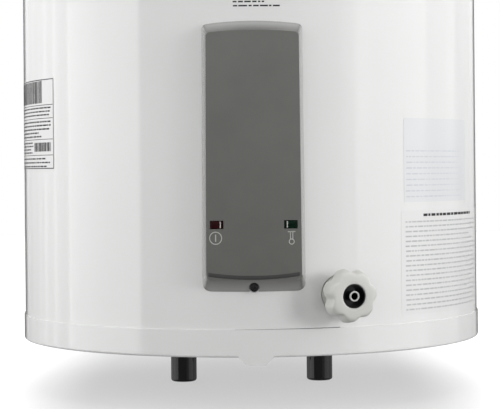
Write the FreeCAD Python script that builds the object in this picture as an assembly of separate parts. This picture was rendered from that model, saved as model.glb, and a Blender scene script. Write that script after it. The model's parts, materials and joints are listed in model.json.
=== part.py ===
import FreeCAD, Part
import math
import os
from FreeCAD import Vector

# Wall-hung electric storage water heater, about 55 litres.
# All sizes are millimetres. The model is drawn about the upright tank axis with z = 0 at
# the rim of the base pan, and the front faces -Y. "Reach" is the distance in front of the
# tank axis. On export everything moves so that the origin is the middle of the four wall
# slots, on the wall plane.

# Casing
jacket_diameter = 455.0
body_height = 620.0
jacket_sheet = 1.0
cap_sheet = 1.0
cap_skirt = 24.5
cap_corner = 2.0
cap_fit = 0.1
panel_diameter = 330.0
panel_step = 3.0
panel_slope = 4.0
panel_bend = 1.5
seam_width = 9.0
seam_proud = 1.2
seam_angle = 140.0
tab_root_width = 31.0
tab_tip_width = 17.0
tab_drop = 7.0
tab_tip_radius = 1.5
tab_angle = 0.36
tab_relief = 8.0

# Inner tank
insulation_thickness = 36.5
tank_wall = 2.0
head_wall = 2.5
crown_radius = 450.0
knuckle_radius = 30.0
head_flange = 12.0
tank_floor_gap = 34.0
tank_roof_gap = 34.0
foam_gap = 0.1

# Water connections below the pan
pipe_spacing = 138.0
socket_diameter = 26.0
socket_drop = 48.2
socket_top_gap = 1.0
socket_lip_radius = 3.0
socket_thread_diameter = 20.6
socket_thread_depth = 15.0
nipple_diameter = 20.8
nipple_bore = 15.0
nipple_seat_depth = 19.0
thread_gap = 0.05
spud_wall = 5.6
spud_below_head = 11.0
spud_above_head = 17.0
grommet_diameter = 37.0
grommet_groove_diameter = 31.8
grommet_lip = 1.8
grommet_gap = 0.1
diffuser_height = 22.0
diffuser_wall = 2.0
diffuser_hole = 6.0
diffuser_holes = 6
riser_diameter = 18.0
riser_wall = 1.5
riser_top_gap = 20.0

# Sacrificial anode, screwed in from below
anode_offset = 75.0
anode_diameter = 22.0
anode_length = 300.0
anode_thread_diameter = 26.4
anode_spud_wall = 4.5
anode_hex = 32.0
anode_hex_height = 9.0
anode_gasket_thickness = 2.0
access_hole_diameter = 44.0
access_cap_lip = 3.0
access_cap_thickness = 1.5
access_cap_barrel = 6.0

# Heating element
element_above_lamps = 34.5
element_thread_diameter = 42.0
element_spud_wall = 7.0
element_spud_proud = 14.0
element_spud_inside = 6.0
element_gasket_thickness = 2.5
element_hex = 55.0
element_hex_depth = 9.5
element_shank = 20.0
element_rod_diameter = 8.4
element_bend_radius = 14.0
element_anode_gap = 15.8
element_pin_diameter = 6.0
element_pin_length = 9.0
element_pin_spacing = 24.0

# Front control compartment
opening_width = 80.0
opening_low = 70.0
compartment_headroom = 20.0
liner_wall = 1.2
liner_gap = 0.1

# Thermostat on the tank wall
thermostat_width = 52.0
thermostat_tall = 70.0
thermostat_above_spud = 18.0
thermostat_depth = 24.0
saddle_thickness = 1.2
saddle_gap = 0.1
saddle_margin = 6.0
arm_thickness = 1.2
arm_length = 17.0
dial_below_top = 26.0
dial_diameter = 21.0
dial_thickness = 5.0
dial_face_gap = 0.4
dial_shaft_diameter = 6.0
dial_shaft_depth = 6.0
dial_shaft_gap = 0.1
dial_slot_width = 2.0
dial_slot_depth = 1.6
reset_below_dial = 26.0
reset_diameter = 7.0
reset_proud = 4.5
reset_inside = 8.0
reset_travel = 2.5
reset_gap = 0.15
reset_end_gap = 0.6
terminal_screw_diameter = 7.0
terminal_screw_height = 2.4
terminal_inset = 7.0

# Lamps behind the cover windows
lamp_above_floor = 47.5
lamp_spacing = 65.0
lamp_width = 11.2
lamp_tall = 6.7
lamp_below_face = 1.6
carrier_height = 14.0
carrier_thickness = 2.5
carrier_ear_depth = 9.0
window_gap = 0.35

# Terminal block, earth screw and cable entry
block_width = 36.0
block_centre = -14.0
block_above_floor = 4.0
block_tall = 20.0
block_depth = 21.0
block_poles = 3
block_hole = 4.0
block_screw_diameter = 5.0
block_screw_height = 1.2
earth_x = 27.0
earth_above_floor = 16.0
earth_stud_diameter = 5.0
earth_stud_length = 13.0
earth_head_diameter = 10.0
earth_head_height = 4.5
gland_reach = 40.0
gland_thread_diameter = 18.0
gland_hex = 23.0
gland_hex_height = 5.0
gland_dome_length = 13.0
gland_dome_diameter = 20.0
gland_bore = 9.0
gland_nut_hex = 24.0
gland_nut_height = 5.0
gland_fit = 0.1
conduit_diameter = 13.0
conduit_wall = 1.3
conduit_bend = 11.5
conduit_level = 22.0
conduit_x = -15.0
conduit_from_tank = 17.0
conduit_gap = 0.2
wire_diameter = 2.6
wire_gap = 0.2
wire_bend = 2.4

# Front cover
cover_proud = 13.0
cover_wall = 2.5
cover_seat_gap = 0.3
cover_face_lap = 0.2
cover_face_top_width = 80.0
cover_face_bottom_width = 82.2
cover_face_top_bow = 4.0
cover_face_bottom_bow = 2.9
cover_face_top_corner = 3.5
cover_face_bottom_corner = 4.0
cover_foot_top_bow = 6.1
cover_foot_bottom_bow = 5.0
cover_foot_top_corner = 5.0
cover_foot_bottom_corner = 9.5
cover_side_draft = 0.255
cover_top_draft = 0.69
cover_bottom_draft = 0.92
cover_hinge_rise = 1.5
cover_hinge_proud = 0.2
cover_tongue_width = 24.0
cover_tongue_depth = 6.0
cover_tongue_thickness = 2.0
cover_tongue_gap = 0.5

# Cover screw and the rivet nut it enters
screw_below_opening = 8.0
screw_head_diameter = 8.0
screw_head_height = 2.4
screw_head_rounding = 1.4
screw_diameter = 3.9
screw_length = 12.0
screw_slot_length = 4.8
screw_slot_width = 1.0
screw_slot_depth = 1.3
notch_diameter = 9.4
notch_wall = 1.8
screw_seat = 1.9
nut_flange_diameter = 10.0
nut_flange = 0.8
nut_barrel_diameter = 7.0
nut_barrel_length = 12.0
nut_bore = 4.8
cover_nut_gap = 0.3
cover_screw_hole = 4.6

# Drain valve, radial, low on the right of the cover
drain_angle = 19.6
drain_height = 54.4
drain_hub_proud = 32.5
drain_spud_diameter = 30.0
drain_thread_diameter = 21.0
drain_spud_proud = 18.8
drain_spud_inside = 3.0
drain_shank_length = 19.0
drain_hex = 30.0
drain_hex_depth = 9.0
drain_hex_gap = 0.2
drain_neck_diameter = 22.0
drain_neck_gap = 1.4
drain_bore_diameter = 12.6
drain_seat_depth = 6.0
drain_seat_bore = 6.6
drain_seal_thickness = 1.9
drain_seal_gap = 0.1
spindle_thread_diameter = 12.4
spindle_thread_length = 24.0
nozzle_diameter = 9.0
nozzle_bore = 6.5
spindle_cup_wall = 0.8
spindle_cup_floor = 1.8
spindle_cup_inset = 0.6
escutcheon_diameter = 34.0
escutcheon_thickness = 1.8
escutcheon_gap = 0.3
wheel_depth = 15.0
wheel_recess_diameter = 21.2
wheel_recess_depth = 11.0
wheel_lobes = 7
wheel_first_lobe = 7.0
wheel_lobe_height = 1.3
wheel_radius_back = 23.2
wheel_radius_widest = 24.4
wheel_radius_waist = 24.0
wheel_radius_shoulder = 22.0
wheel_radius_front = 19.6
wheel_widest_depth = 13.5
wheel_waist_depth = 8.0
wheel_shoulder_depth = 2.0
wheel_running_gap = 0.1
cup_running_gap = 0.2

# Wall brackets
wall_standoff = 22.0
bracket_strip = 2.5
bracket_height = 45.0
bracket_hat_width = 124.0
bracket_fit = 0.1
slot_spacing_x = 200.0
slot_spacing_z = 330.0
slot_width = 11.0
slot_length = 22.0
slot_end_margin = 11.0
lower_slot_height = 145.0
stud_diameter = 10.0
stud_angle = 9.0
stud_hole_gap = 0.5
stud_beyond_nut = 3.0
nut_hex = 17.0
nut_height = 8.0
pad_width = 110.0
pad_height = 60.0
pad_thickness = 3.0

# Worked out from the sizes above
jacket_radius = jacket_diameter / 2
jacket_inner = jacket_radius - jacket_sheet
cap_inner = jacket_radius + cap_fit
cap_outer = cap_inner + cap_sheet
tank_radius = jacket_inner - insulation_thickness
roof = body_height
pan_floor = panel_step
pan_floor_top = panel_step + cap_sheet
face_radius = jacket_radius + cover_proud
cover_foot_radius = jacket_radius + cover_seat_gap
slot_centre_height = lower_slot_height + slot_spacing_z / 2
wall_plane = jacket_radius + wall_standoff
pipe_x = pipe_spacing / 2
nipple_radius = nipple_diameter / 2
spud_radius = nipple_radius + thread_gap + spud_wall
anode_thread_radius = anode_thread_diameter / 2
anode_spud_radius = anode_thread_radius + anode_spud_wall
element_thread_radius = element_thread_diameter / 2
element_spud_radius = element_thread_radius + element_spud_wall
lamp_height = opening_low + lamp_above_floor
element_height = lamp_height + element_above_lamps
element_spud_face = tank_radius + element_spud_proud
element_hex_back = element_spud_face + element_gasket_thickness
element_hex_front = element_hex_back + element_hex_depth
element_shank_end = element_hex_back - element_shank
element_tip = anode_offset - anode_diameter / 2 - element_anode_gap - element_rod_diameter / 2
element_far_reach = element_bend_radius - element_tip
carrier_reach = element_hex_front + wire_diameter + 2 * wire_gap
saddle_outer = tank_radius + saddle_gap + saddle_thickness
thermostat_low = element_height + element_spud_radius + thermostat_above_spud
thermostat_high = thermostat_low + thermostat_tall
thermostat_front = tank_radius + thermostat_depth
dial_height = thermostat_high - dial_below_top
reset_height = dial_height - reset_below_dial
block_low = opening_low + block_above_floor
block_high = block_low + block_tall
block_front = tank_radius + block_depth
earth_height = opening_low + earth_above_floor
conduit_reach = tank_radius + conduit_from_tank
opening_high = thermostat_high + compartment_headroom
cover_face_low = opening_low - cover_face_lap
cover_face_high = opening_high
screw_height = opening_low - screw_below_opening
screw_seat_reach = jacket_radius + nut_flange + cover_nut_gap + screw_seat
drain_hub_reach = jacket_radius + drain_hub_proud
drain_spud_outer_reach = tank_radius + drain_spud_proud
drain_hex_back = drain_spud_outer_reach + drain_hex_gap
drain_shank_reach = drain_hex_back - drain_shank_length
drain_seat_reach = drain_shank_reach + drain_seat_depth
wheel_back_reach = drain_hub_reach - wheel_depth
recess_floor_reach = drain_hub_reach - wheel_recess_depth


def corner_points(before, corner, after, radius):
    """Start, middle and end of the arc that rounds one corner of an outline."""
    to_before = (before - corner).normalize()
    to_after = (after - corner).normalize()
    half = to_before.getAngle(to_after) / 2
    run = radius / math.tan(half)
    inward = (to_before + to_after).normalize()
    middle = corner + inward * (radius / math.sin(half) - radius)
    return corner + to_before * run, middle, corner + to_after * run


def rounded_face(corners):
    """Face with straight sides; each corner is (across, up, radius), drawn in the XZ plane."""
    points = [Vector(across, 0, up) for across, up, radius in corners]
    edges = []
    starts = []
    ends = []
    for index, (across, up, radius) in enumerate(corners):
        corner = points[index]
        if radius:
            start, middle, end = corner_points(
                points[index - 1], corner, points[(index + 1) % len(points)], radius
            )
            edges.append(Part.Arc(start, middle, end).toShape())
        else:
            start = end = corner
        starts.append(start)
        ends.append(end)
    for index in range(len(points)):
        begin = ends[index]
        finish = starts[(index + 1) % len(points)]
        if begin.distanceToPoint(finish) > 1e-6:
            edges.append(Part.makeLine(begin, finish))
    return Part.Face(Part.Wire(Part.__sortEdges__(edges)))


def turned(corners):
    """Solid of revolution about Z from (radius, height, corner radius) points."""
    return rounded_face(corners).revolve(Vector(0, 0, 0), Vector(0, 0, 1), 360)


def ring(outer, inner, low, high):
    """Plain ring or disc about Z."""
    solid = Part.makeCylinder(outer, high - low, Vector(0, 0, low))
    if inner > 0:
        solid = solid.cut(Part.makeCylinder(inner, high - low, Vector(0, 0, low)))
    return solid


def hexagon(across_flats, low, high):
    """Hexagonal prism about Z with corners on the X axis."""
    radius = across_flats / math.sqrt(3)
    corners = []
    for step in range(6):
        angle = math.radians(60 * step)
        corners.append(Vector(radius * math.cos(angle), radius * math.sin(angle), low))
    corners.append(corners[0])
    return Part.Face(Part.makePolygon(corners)).extrude(Vector(0, 0, high - low))


def moved(shape, x=0.0, y=0.0, z=0.0):
    """Copy of a shape, shifted."""
    result = shape.copy()
    result.translate(Vector(x, y, z))
    return result


def facing_front(shape, height, azimuth=0.0, across=0.0):
    """Turn a piece drawn about Z so that its height becomes reach from the tank axis."""
    result = shape.copy()
    result.rotate(Vector(0, 0, 0), Vector(1, 0, 0), 90)
    result.translate(Vector(across, 0, height))
    result.rotate(Vector(0, 0, 0), Vector(0, 0, 1), azimuth)
    return result


def front_box(width, near, far, low, high, across=0.0):
    """Box between two reaches and two heights, centred on across."""
    return Part.makeBox(width, far - near, high - low, Vector(across - width / 2, -far, low))


def tube_along(points, radius, bend, bore=0.0):
    """Round tube along straight runs joined by arcs of one bend radius."""
    route = [Vector(*point) for point in points]
    edges = []
    start = route[0]
    for index in range(1, len(route) - 1):
        first, middle, last = corner_points(route[index - 1], route[index], route[index + 1], bend)
        edges.append(Part.makeLine(start, first))
        edges.append(Part.Arc(first, middle, last).toShape())
        start = last
    edges.append(Part.makeLine(start, route[-1]))
    path = Part.Wire(edges)
    direction = route[1] - route[0]
    solid = swept_circle(path, route[0], direction, radius)
    if bore > 0:
        solid = solid.cut(swept_circle(path, route[0], direction, bore))
    return solid


def swept_circle(path, start, direction, radius):
    """Solid swept by a circle along a path."""
    circle = Part.Wire(Part.makeCircle(radius, start, direction))
    return path.makePipeShell([circle], True, False)


def one_solid(shape):
    """The single solid of a boolean result, with its split faces joined."""
    return shape.removeSplitter().Solids[0]


def dish_depth():
    """Height of a dished head above the line where it meets the cylinder."""
    rise = math.sqrt((crown_radius - knuckle_radius) ** 2 - (tank_radius - knuckle_radius) ** 2)
    return crown_radius - rise


def dish_edges(offset):
    """Knuckle and crown arcs of a head, offset inwards from the outside."""
    knuckle_centre = Vector(tank_radius - knuckle_radius, 0, 0)
    crown_centre = Vector(0, 0, dish_depth() - crown_radius)
    outward = (knuckle_centre - crown_centre).normalize()
    knuckle = knuckle_radius - offset
    crown = crown_radius - offset
    side = knuckle_centre + Vector(knuckle, 0, 0)
    knuckle_middle = knuckle_centre + (outward + Vector(1, 0, 0)).normalize() * knuckle
    join = crown_centre + outward * crown
    crown_middle = crown_centre + (outward + Vector(0, 0, 1)).normalize() * crown
    apex = crown_centre + Vector(0, 0, crown)
    return side, Part.Arc(side, knuckle_middle, join), Part.Arc(join, crown_middle, apex), apex


def dished_solid(offset, base):
    """Solid head about Z, its flat side at base below the join with the cylinder."""
    side, knuckle, crown, apex = dish_edges(offset)
    foot = Vector(side.x, 0, base)
    centre = Vector(0, 0, base)
    edges = [
        Part.makeLine(foot, side),
        knuckle.toShape(),
        crown.toShape(),
        Part.makeLine(apex, centre),
        Part.makeLine(centre, foot),
    ]
    return Part.Face(Part.Wire(edges)).revolve(Vector(0, 0, 0), Vector(0, 0, 1), 360)


def tank_joins():
    """Heights where the lower and the upper head meet the tank cylinder."""
    return tank_floor_gap + dish_depth(), body_height - tank_roof_gap - dish_depth()


def upside_down(shape):
    """Shape turned over about the X axis."""
    result = shape.copy()
    result.rotate(Vector(0, 0, 0), Vector(1, 0, 0), 180)
    return result


def tank_envelope(grow):
    """Outside of the whole tank, grown by a gap."""
    low, high = tank_joins()
    middle = Part.makeCylinder(tank_radius + grow, high - low, Vector(0, 0, low))
    upper = moved(dished_solid(-grow, -head_flange), z=high)
    lower = moved(upside_down(dished_solid(-grow, -head_flange)), z=low)
    return middle.fuse(upper).fuse(lower)


def head_surface_height(distance):
    """Height of the outside of the lower head at a distance from the tank axis."""
    return tank_floor_gap + crown_radius - math.sqrt(crown_radius ** 2 - distance ** 2)


def drain_spud_inner_reach():
    """Reach at which the whole section of the drain spud is inside the lower head."""
    lowest = drain_height - drain_spud_diameter / 2
    below_centre = tank_floor_gap + crown_radius - lowest
    return math.sqrt(crown_radius ** 2 - below_centre ** 2) - drain_spud_inside


def end_pressing(step):
    """Pressed end cap: a skirt, a rounded corner and a stepped round panel."""
    panel_radius = panel_diameter / 2
    slope_end = panel_radius + panel_slope
    corners = [
        (0, step, 0),
        (panel_radius, step, panel_bend),
        (slope_end, 0, panel_bend),
        (cap_outer, 0, cap_corner),
        (cap_outer, cap_skirt, 0),
        (cap_inner, cap_skirt, 0),
        (cap_inner, cap_sheet, cap_corner - cap_sheet),
        (slope_end, cap_sheet, panel_bend),
        (panel_radius, step + cap_sheet, panel_bend),
        (0, step + cap_sheet, 0),
    ]
    return turned(corners)


def pan_tab():
    """Trapezoid lip that hangs from the rim of the pan, flush with its skirt."""
    root = tab_root_width / 2
    tip = tab_tip_width / 2
    outline = rounded_face([
        (-root, cap_corner, 0),
        (-root, 0, 0),
        (-tip, -tab_drop, tab_tip_radius),
        (tip, -tab_drop, tab_tip_radius),
        (root, 0, 0),
        (root, cap_corner, 0),
    ])
    block = outline.extrude(Vector(0, -cap_outer, 0))
    return block.common(ring(cap_outer, cap_inner, -tab_drop, cap_corner))


def base_pan():
    """Bottom pressing with its pipe, cable and anode holes and the front tab."""
    pan = end_pressing(panel_step)
    relief = front_box(
        tab_root_width, cap_inner - tab_relief, cap_outer, -cap_sheet, cap_corner
    )
    front = pan.cut(relief).fuse(pan_tab())
    front.rotate(Vector(0, 0, 0), Vector(0, 0, 1), tab_angle)
    holes = [(x, 0.0, grommet_groove_diameter / 2 + grommet_gap) for x in (-pipe_x, pipe_x)]
    holes.append((0.0, anode_offset, access_hole_diameter / 2))
    holes.append((0.0, -gland_reach, gland_thread_diameter / 2 + gland_fit))
    for x, y, radius in holes:
        front = front.cut(Part.makeCylinder(radius, 2 * pan_floor_top, Vector(x, y, 0)))
    return one_solid(front)


def top_cap():
    """Top pressing, the same die with its panel raised."""
    return moved(upside_down(end_pressing(-panel_step)), z=roof)


def stud_places():
    """Azimuth and height of each wall stud, azimuth 180 being the back."""
    places = []
    for height in (lower_slot_height, lower_slot_height + slot_spacing_z):
        for side in (-1, 1):
            places.append((180 + side * stud_angle, height))
    return places


def jacket():
    """Rolled outer sheet with the access opening, valve, stud and screw holes and its seam."""
    low = cap_corner
    high = roof - cap_corner
    shell = ring(jacket_radius, jacket_inner, low, high)
    seam_low = cap_skirt + seam_proud
    seam_high = roof - seam_low
    seam = front_box(
        seam_width, jacket_inner + jacket_sheet / 2, jacket_radius + seam_proud, seam_low, seam_high
    )
    seam.rotate(Vector(0, 0, 0), Vector(0, 0, 1), seam_angle)
    shell = shell.fuse(seam)
    shell = shell.cut(
        front_box(opening_width, tank_radius, face_radius, opening_low, opening_high)
    )
    valve_hole = ring(drain_clearance_radius(), 0, tank_radius, face_radius)
    shell = shell.cut(facing_front(valve_hole, drain_height, drain_angle))
    nut_hole = ring(nut_barrel_diameter / 2 + thread_gap, 0, tank_radius, face_radius)
    shell = shell.cut(facing_front(nut_hole, screw_height))
    stud_hole = ring(stud_diameter / 2 + stud_hole_gap, 0, tank_radius, face_radius)
    for azimuth, height in stud_places():
        shell = shell.cut(facing_front(stud_hole, height, azimuth))
    return one_solid(shell)


def tank():
    """Shell and two dished heads, with holes for every fitting that enters them."""
    low, high = tank_joins()
    shell = ring(tank_radius, tank_radius - tank_wall, low + head_flange, high - head_flange)
    element_hole = ring(element_spud_radius, 0, 0, element_spud_face)
    shell = shell.cut(facing_front(element_hole, element_height))
    upper = dished_solid(0, -head_flange).cut(dished_solid(head_wall, -head_flange))
    lower = moved(upside_down(upper), z=low)
    upper = moved(upper, z=high)
    for x in (-pipe_x, pipe_x):
        lower = lower.cut(Part.makeCylinder(spud_radius, low, Vector(x, 0, 0)))
    lower = lower.cut(Part.makeCylinder(anode_spud_radius, low, Vector(0, anode_offset, 0)))
    drain_hole = ring(drain_spud_diameter / 2, 0, drain_spud_inner_reach(), jacket_radius)
    drain_hole = facing_front(drain_hole, drain_height, drain_angle)
    lower = lower.cut(drain_hole)
    return {
        "tank_shell": one_solid(shell),
        "tank_top_head": upper,
        "tank_bottom_head": one_solid(lower),
    }


def pipe_connections():
    """Spuds, nipples, sockets and grommets of the cold inlet and the hot outlet."""
    head = head_surface_height(pipe_x)
    spud_low = head - spud_below_head
    spud_high = head + spud_above_head
    spud = ring(spud_radius, nipple_radius + thread_gap, spud_low, spud_high)
    socket_top = pan_floor - grommet_lip - socket_top_gap
    nipple_low = socket_top - nipple_seat_depth
    nipple = ring(nipple_radius, nipple_bore / 2, nipple_low, spud_high)
    socket_radius = socket_diameter / 2
    thread = socket_thread_diameter / 2
    thread_top = -socket_drop + socket_thread_depth
    seat = nipple_radius + thread_gap
    bore = nipple_bore / 2
    socket = turned([
        (thread, -socket_drop, 0),
        (socket_radius, -socket_drop, min(socket_lip_radius, 0.9 * (socket_radius - thread))),
        (socket_radius, socket_top, 0),
        (seat, socket_top, 0),
        (seat, nipple_low, 0),
        (bore, nipple_low, 0),
        (bore, thread_top, 0),
        (thread, thread_top, 0),
    ])
    lip = grommet_diameter / 2
    groove = grommet_groove_diameter / 2
    hole = nipple_radius + grommet_gap
    grommet = turned([
        (hole, pan_floor - grommet_lip, 0),
        (lip, pan_floor - grommet_lip, grommet_lip / 2),
        (lip, pan_floor, 0),
        (groove, pan_floor, 0),
        (groove, pan_floor_top, 0),
        (lip, pan_floor_top, 0),
        (lip, pan_floor_top + grommet_lip, grommet_lip / 2),
        (hole, pan_floor_top + grommet_lip, 0),
    ])
    sides = (-pipe_x, pipe_x)
    return {
        "pipe_spuds": Part.makeCompound([moved(spud, x=x) for x in sides]),
        "pipe_nipples": Part.makeCompound([moved(nipple, x=x) for x in sides]),
        "pipe_grommets": Part.makeCompound([moved(grommet, x=x) for x in sides]),
        "hot_outlet_socket": moved(socket, x=-pipe_x),
        "cold_inlet_socket": moved(socket, x=pipe_x),
    }


def inside_pipes():
    """Diffuser over the cold inlet and the riser that takes hot water from the top."""
    spud_high = head_surface_height(pipe_x) + spud_above_head
    inner = spud_radius - diffuser_wall
    top = spud_high + diffuser_height
    cap = ring(spud_radius, 0, spud_high, top).cut(ring(inner, 0, spud_high, top - diffuser_wall))
    port = Part.makeCylinder(
        diffuser_hole / 2, spud_radius, Vector(0, 0, spud_high + diffuser_height / 2), Vector(1, 0, 0)
    )
    for index in range(diffuser_holes):
        cut = port.copy()
        cut.rotate(Vector(0, 0, 0), Vector(0, 0, 1), 360 * index / diffuser_holes)
        cap = cap.cut(cut)
    riser_radius = riser_diameter / 2
    riser_top = roof - tank_roof_gap - head_wall - riser_top_gap
    riser = ring(riser_radius, riser_radius - riser_wall, spud_high, riser_top)
    return {
        "inlet_diffuser": moved(cap, x=pipe_x),
        "hot_riser_tube": moved(riser, x=-pipe_x),
    }


def anode():
    """Magnesium rod on a plug in its own spud, reached through a cap in the pan."""
    head = head_surface_height(anode_offset)
    spud_low = head - spud_below_head
    spud_high = head + spud_above_head
    spud = ring(anode_spud_radius, anode_thread_radius + thread_gap, spud_low, spud_high)
    hex_top = spud_low - anode_gasket_thickness
    gasket = ring(anode_spud_radius, anode_thread_radius + thread_gap, hex_top, spud_low)
    plug = hexagon(anode_hex, hex_top - anode_hex_height, hex_top)
    plug = plug.fuse(Part.makeCylinder(anode_thread_radius, spud_high - hex_top, Vector(0, 0, hex_top)))
    rod = Part.makeCylinder(anode_diameter / 2, anode_length, Vector(0, 0, spud_high))
    hole = access_hole_diameter / 2
    barrel = hole - grommet_gap
    cap_low = pan_floor - access_cap_thickness
    cap = ring(hole + access_cap_lip, 0, cap_low, pan_floor)
    cap = cap.fuse(ring(barrel, barrel - access_cap_thickness, pan_floor, pan_floor + access_cap_barrel))
    parts = {
        "anode_spud": spud,
        "anode_gasket": gasket,
        "anode_plug": one_solid(plug),
        "anode_rod": rod,
        "anode_access_cap": one_solid(cap),
    }
    return {name: moved(shape, y=anode_offset) for name, shape in parts.items()}


def element():
    """Screw-in immersion element: spud, gasket, hexagon head, sheath and pins."""
    spud = ring(
        element_spud_radius,
        element_thread_radius + thread_gap,
        tank_radius - element_spud_inside,
        element_spud_face,
    )
    gasket = ring(
        element_hex / 2, element_thread_radius + thread_gap, element_spud_face, element_hex_back
    )
    head = hexagon(element_hex, element_hex_back, element_hex_front)
    head.rotate(Vector(0, 0, 0), Vector(0, 0, 1), 30)
    head = head.fuse(ring(element_thread_radius, 0, element_shank_end, element_hex_back))
    pin = ring(
        element_pin_diameter / 2, 0, element_hex_front, element_hex_front + element_pin_length
    )
    pins = [
        facing_front(pin, element_height, across=side * element_pin_spacing / 2) for side in (-1, 1)
    ]
    rod = element_rod_diameter / 2
    near = Vector(-element_bend_radius, -element_shank_end, element_height)
    turn = Vector(-element_bend_radius, -element_far_reach, element_height)
    tip = Vector(0, -element_far_reach + element_bend_radius, element_height)
    back = Vector(element_bend_radius, -element_far_reach, element_height)
    end = Vector(element_bend_radius, -element_shank_end, element_height)
    path = Part.Wire([
        Part.makeLine(near, turn),
        Part.Arc(turn, tip, back).toShape(),
        Part.makeLine(back, end),
    ])
    return {
        "element_spud": facing_front(spud, element_height),
        "element_gasket": facing_front(gasket, element_height),
        "element_head": facing_front(one_solid(head), element_height),
        "element_terminals": Part.makeCompound(pins),
        "element_sheath": swept_circle(path, near, Vector(0, 1, 0), rod),
    }


def liner_box(grow):
    """Block through the insulation, as wide and tall as the opening plus a margin."""
    return front_box(
        opening_width + 2 * grow, 0, face_radius, opening_low - grow, opening_high + grow
    )


def compartment_liner():
    """Sheet frame that keeps the foam out of the control compartment."""
    frame = liner_box(liner_wall).cut(liner_box(0))
    low = opening_low - liner_wall
    high = opening_high + liner_wall
    frame = frame.common(ring(jacket_inner - liner_gap, tank_radius + liner_gap, low, high))
    hole = Part.makeCylinder(
        conduit_diameter / 2 + conduit_gap, 4 * liner_wall,
        Vector(conduit_x, -conduit_reach, opening_low - 2 * liner_wall),
    )
    return one_solid(frame.cut(hole))


def thermostat():
    """Surface thermostat on its saddle, with dial, reset button and terminal screws."""
    body = front_box(thermostat_width, 0, thermostat_front, thermostat_low, thermostat_high)
    body = body.cut(ring(saddle_outer + saddle_gap, 0, 0, roof))
    shaft_hole = ring(
        dial_shaft_diameter / 2 + dial_shaft_gap, 0,
        thermostat_front - dial_shaft_depth - dial_face_gap, face_radius,
    )
    body = body.cut(facing_front(shaft_hole, dial_height))
    reset_back = thermostat_front - reset_inside
    reset_hole = ring(
        reset_diameter / 2 + reset_gap, 0, reset_back - reset_travel - reset_end_gap, face_radius
    )
    body = body.cut(facing_front(reset_hole, reset_height))
    dial_back = thermostat_front + dial_face_gap
    dial_front = dial_back + dial_thickness
    dial = ring(dial_diameter / 2, 0, dial_back, dial_front)
    dial = dial.fuse(ring(dial_shaft_diameter / 2, 0, dial_back - dial_shaft_depth, dial_back))
    slot = Part.makeBox(
        dial_slot_width, dial_diameter / 2, dial_slot_depth,
        Vector(-dial_slot_width / 2, 0, dial_front - dial_slot_depth),
    )
    dial = one_solid(dial.cut(slot))
    button = ring(reset_diameter / 2, 0, reset_back, thermostat_front + reset_proud)
    screw = ring(
        terminal_screw_diameter / 2, 0, thermostat_front, thermostat_front + terminal_screw_height
    )
    screws = []
    for side in (-1, 1):
        for height in (thermostat_low + terminal_inset, thermostat_high - terminal_inset):
            across = side * (thermostat_width / 2 - terminal_inset)
            screws.append(facing_front(screw, height, across=across))
    return {
        "thermostat_body": one_solid(body),
        "thermostat_bracket": thermostat_bracket(),
        "thermostat_dial": facing_front(dial, dial_height),
        "reset_button": facing_front(button, reset_height),
        "thermostat_terminal_screws": Part.makeCompound(screws),
    }


def thermostat_bracket():
    """Sprung saddle on the tank wall with an arm up each side of the thermostat."""
    width = thermostat_width + 2 * (arm_thickness + saddle_gap)
    low = thermostat_low - saddle_margin
    high = thermostat_high + saddle_margin
    band = ring(saddle_outer, tank_radius + saddle_gap, low, high)
    saddle = band.common(front_box(width, 0, face_radius, low, high))
    solid = saddle
    quarter = (thermostat_high - thermostat_low) / 4
    for side in (-1, 1):
        across = side * (width / 2 - arm_thickness / 2)
        arm = front_box(
            arm_thickness, 0, tank_radius + arm_length,
            thermostat_low + quarter, thermostat_high - quarter, across,
        )
        arm = arm.cut(ring(tank_radius + saddle_gap, 0, 0, roof))
        solid = solid.fuse(arm)
    return one_solid(solid)


def lamp_parts():
    """Carrier across the compartment and the two neon lamps that stand in it."""
    low = lamp_height - carrier_height / 2
    high = lamp_height + carrier_height / 2
    width = opening_width - 2 * liner_gap
    front = carrier_reach + carrier_thickness
    plate = front_box(width, carrier_reach, front, low, high)
    ear_back = carrier_reach - carrier_ear_depth
    inner = width - 2 * carrier_thickness
    ears = front_box(width, ear_back, carrier_reach, low, high)
    ears = ears.cut(front_box(inner, ear_back, carrier_reach, low, high))
    lamps = []
    for side in (-1, 1):
        across = side * lamp_spacing / 2
        face = math.sqrt(face_radius ** 2 - across ** 2) - lamp_below_face
        lamps.append(
            front_box(
                lamp_width, front, face, lamp_height - lamp_tall / 2, lamp_height + lamp_tall / 2,
                across,
            )
        )
    return {
        "lamp_carrier": one_solid(plate.fuse(ears)),
        "power_lamp": lamps[0],
        "heating_lamp": lamps[1],
    }


def terminal_parts():
    """Three-pole block, its screws and the earth screw on the tank wall."""
    block = front_box(block_width, 0, block_front, block_low, block_high, block_centre)
    block = block.cut(ring(tank_radius + saddle_gap, 0, 0, roof))
    pitch = block_width / block_poles
    screws = []
    hole_reach = (tank_radius + block_front) / 2 + block_hole / 2
    for pole in range(block_poles):
        across = block_centre + (pole - (block_poles - 1) / 2) * pitch
        hole = Part.makeCylinder(
            block_hole / 2, block_high - block_low, Vector(across, -hole_reach, block_low)
        )
        block = block.cut(hole)
        screw = ring(block_screw_diameter / 2, 0, block_front, block_front + block_screw_height)
        screws.append(facing_front(screw, (block_low + block_high) / 2, across=across))
    start = math.sqrt(tank_radius ** 2 - earth_x ** 2)
    stud_end = start + earth_stud_length
    earth = ring(earth_stud_diameter / 2, 0, start - tank_wall, stud_end)
    earth = earth.fuse(hexagon(earth_head_diameter, stud_end - earth_head_height, stud_end))
    earth = facing_front(earth, earth_height, across=earth_x)
    earth = earth.cut(ring(tank_radius, 0, 0, roof))
    return {
        "terminal_block": one_solid(block),
        "terminal_block_screws": Part.makeCompound(screws),
        "earth_screw": one_solid(earth),
    }


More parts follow.
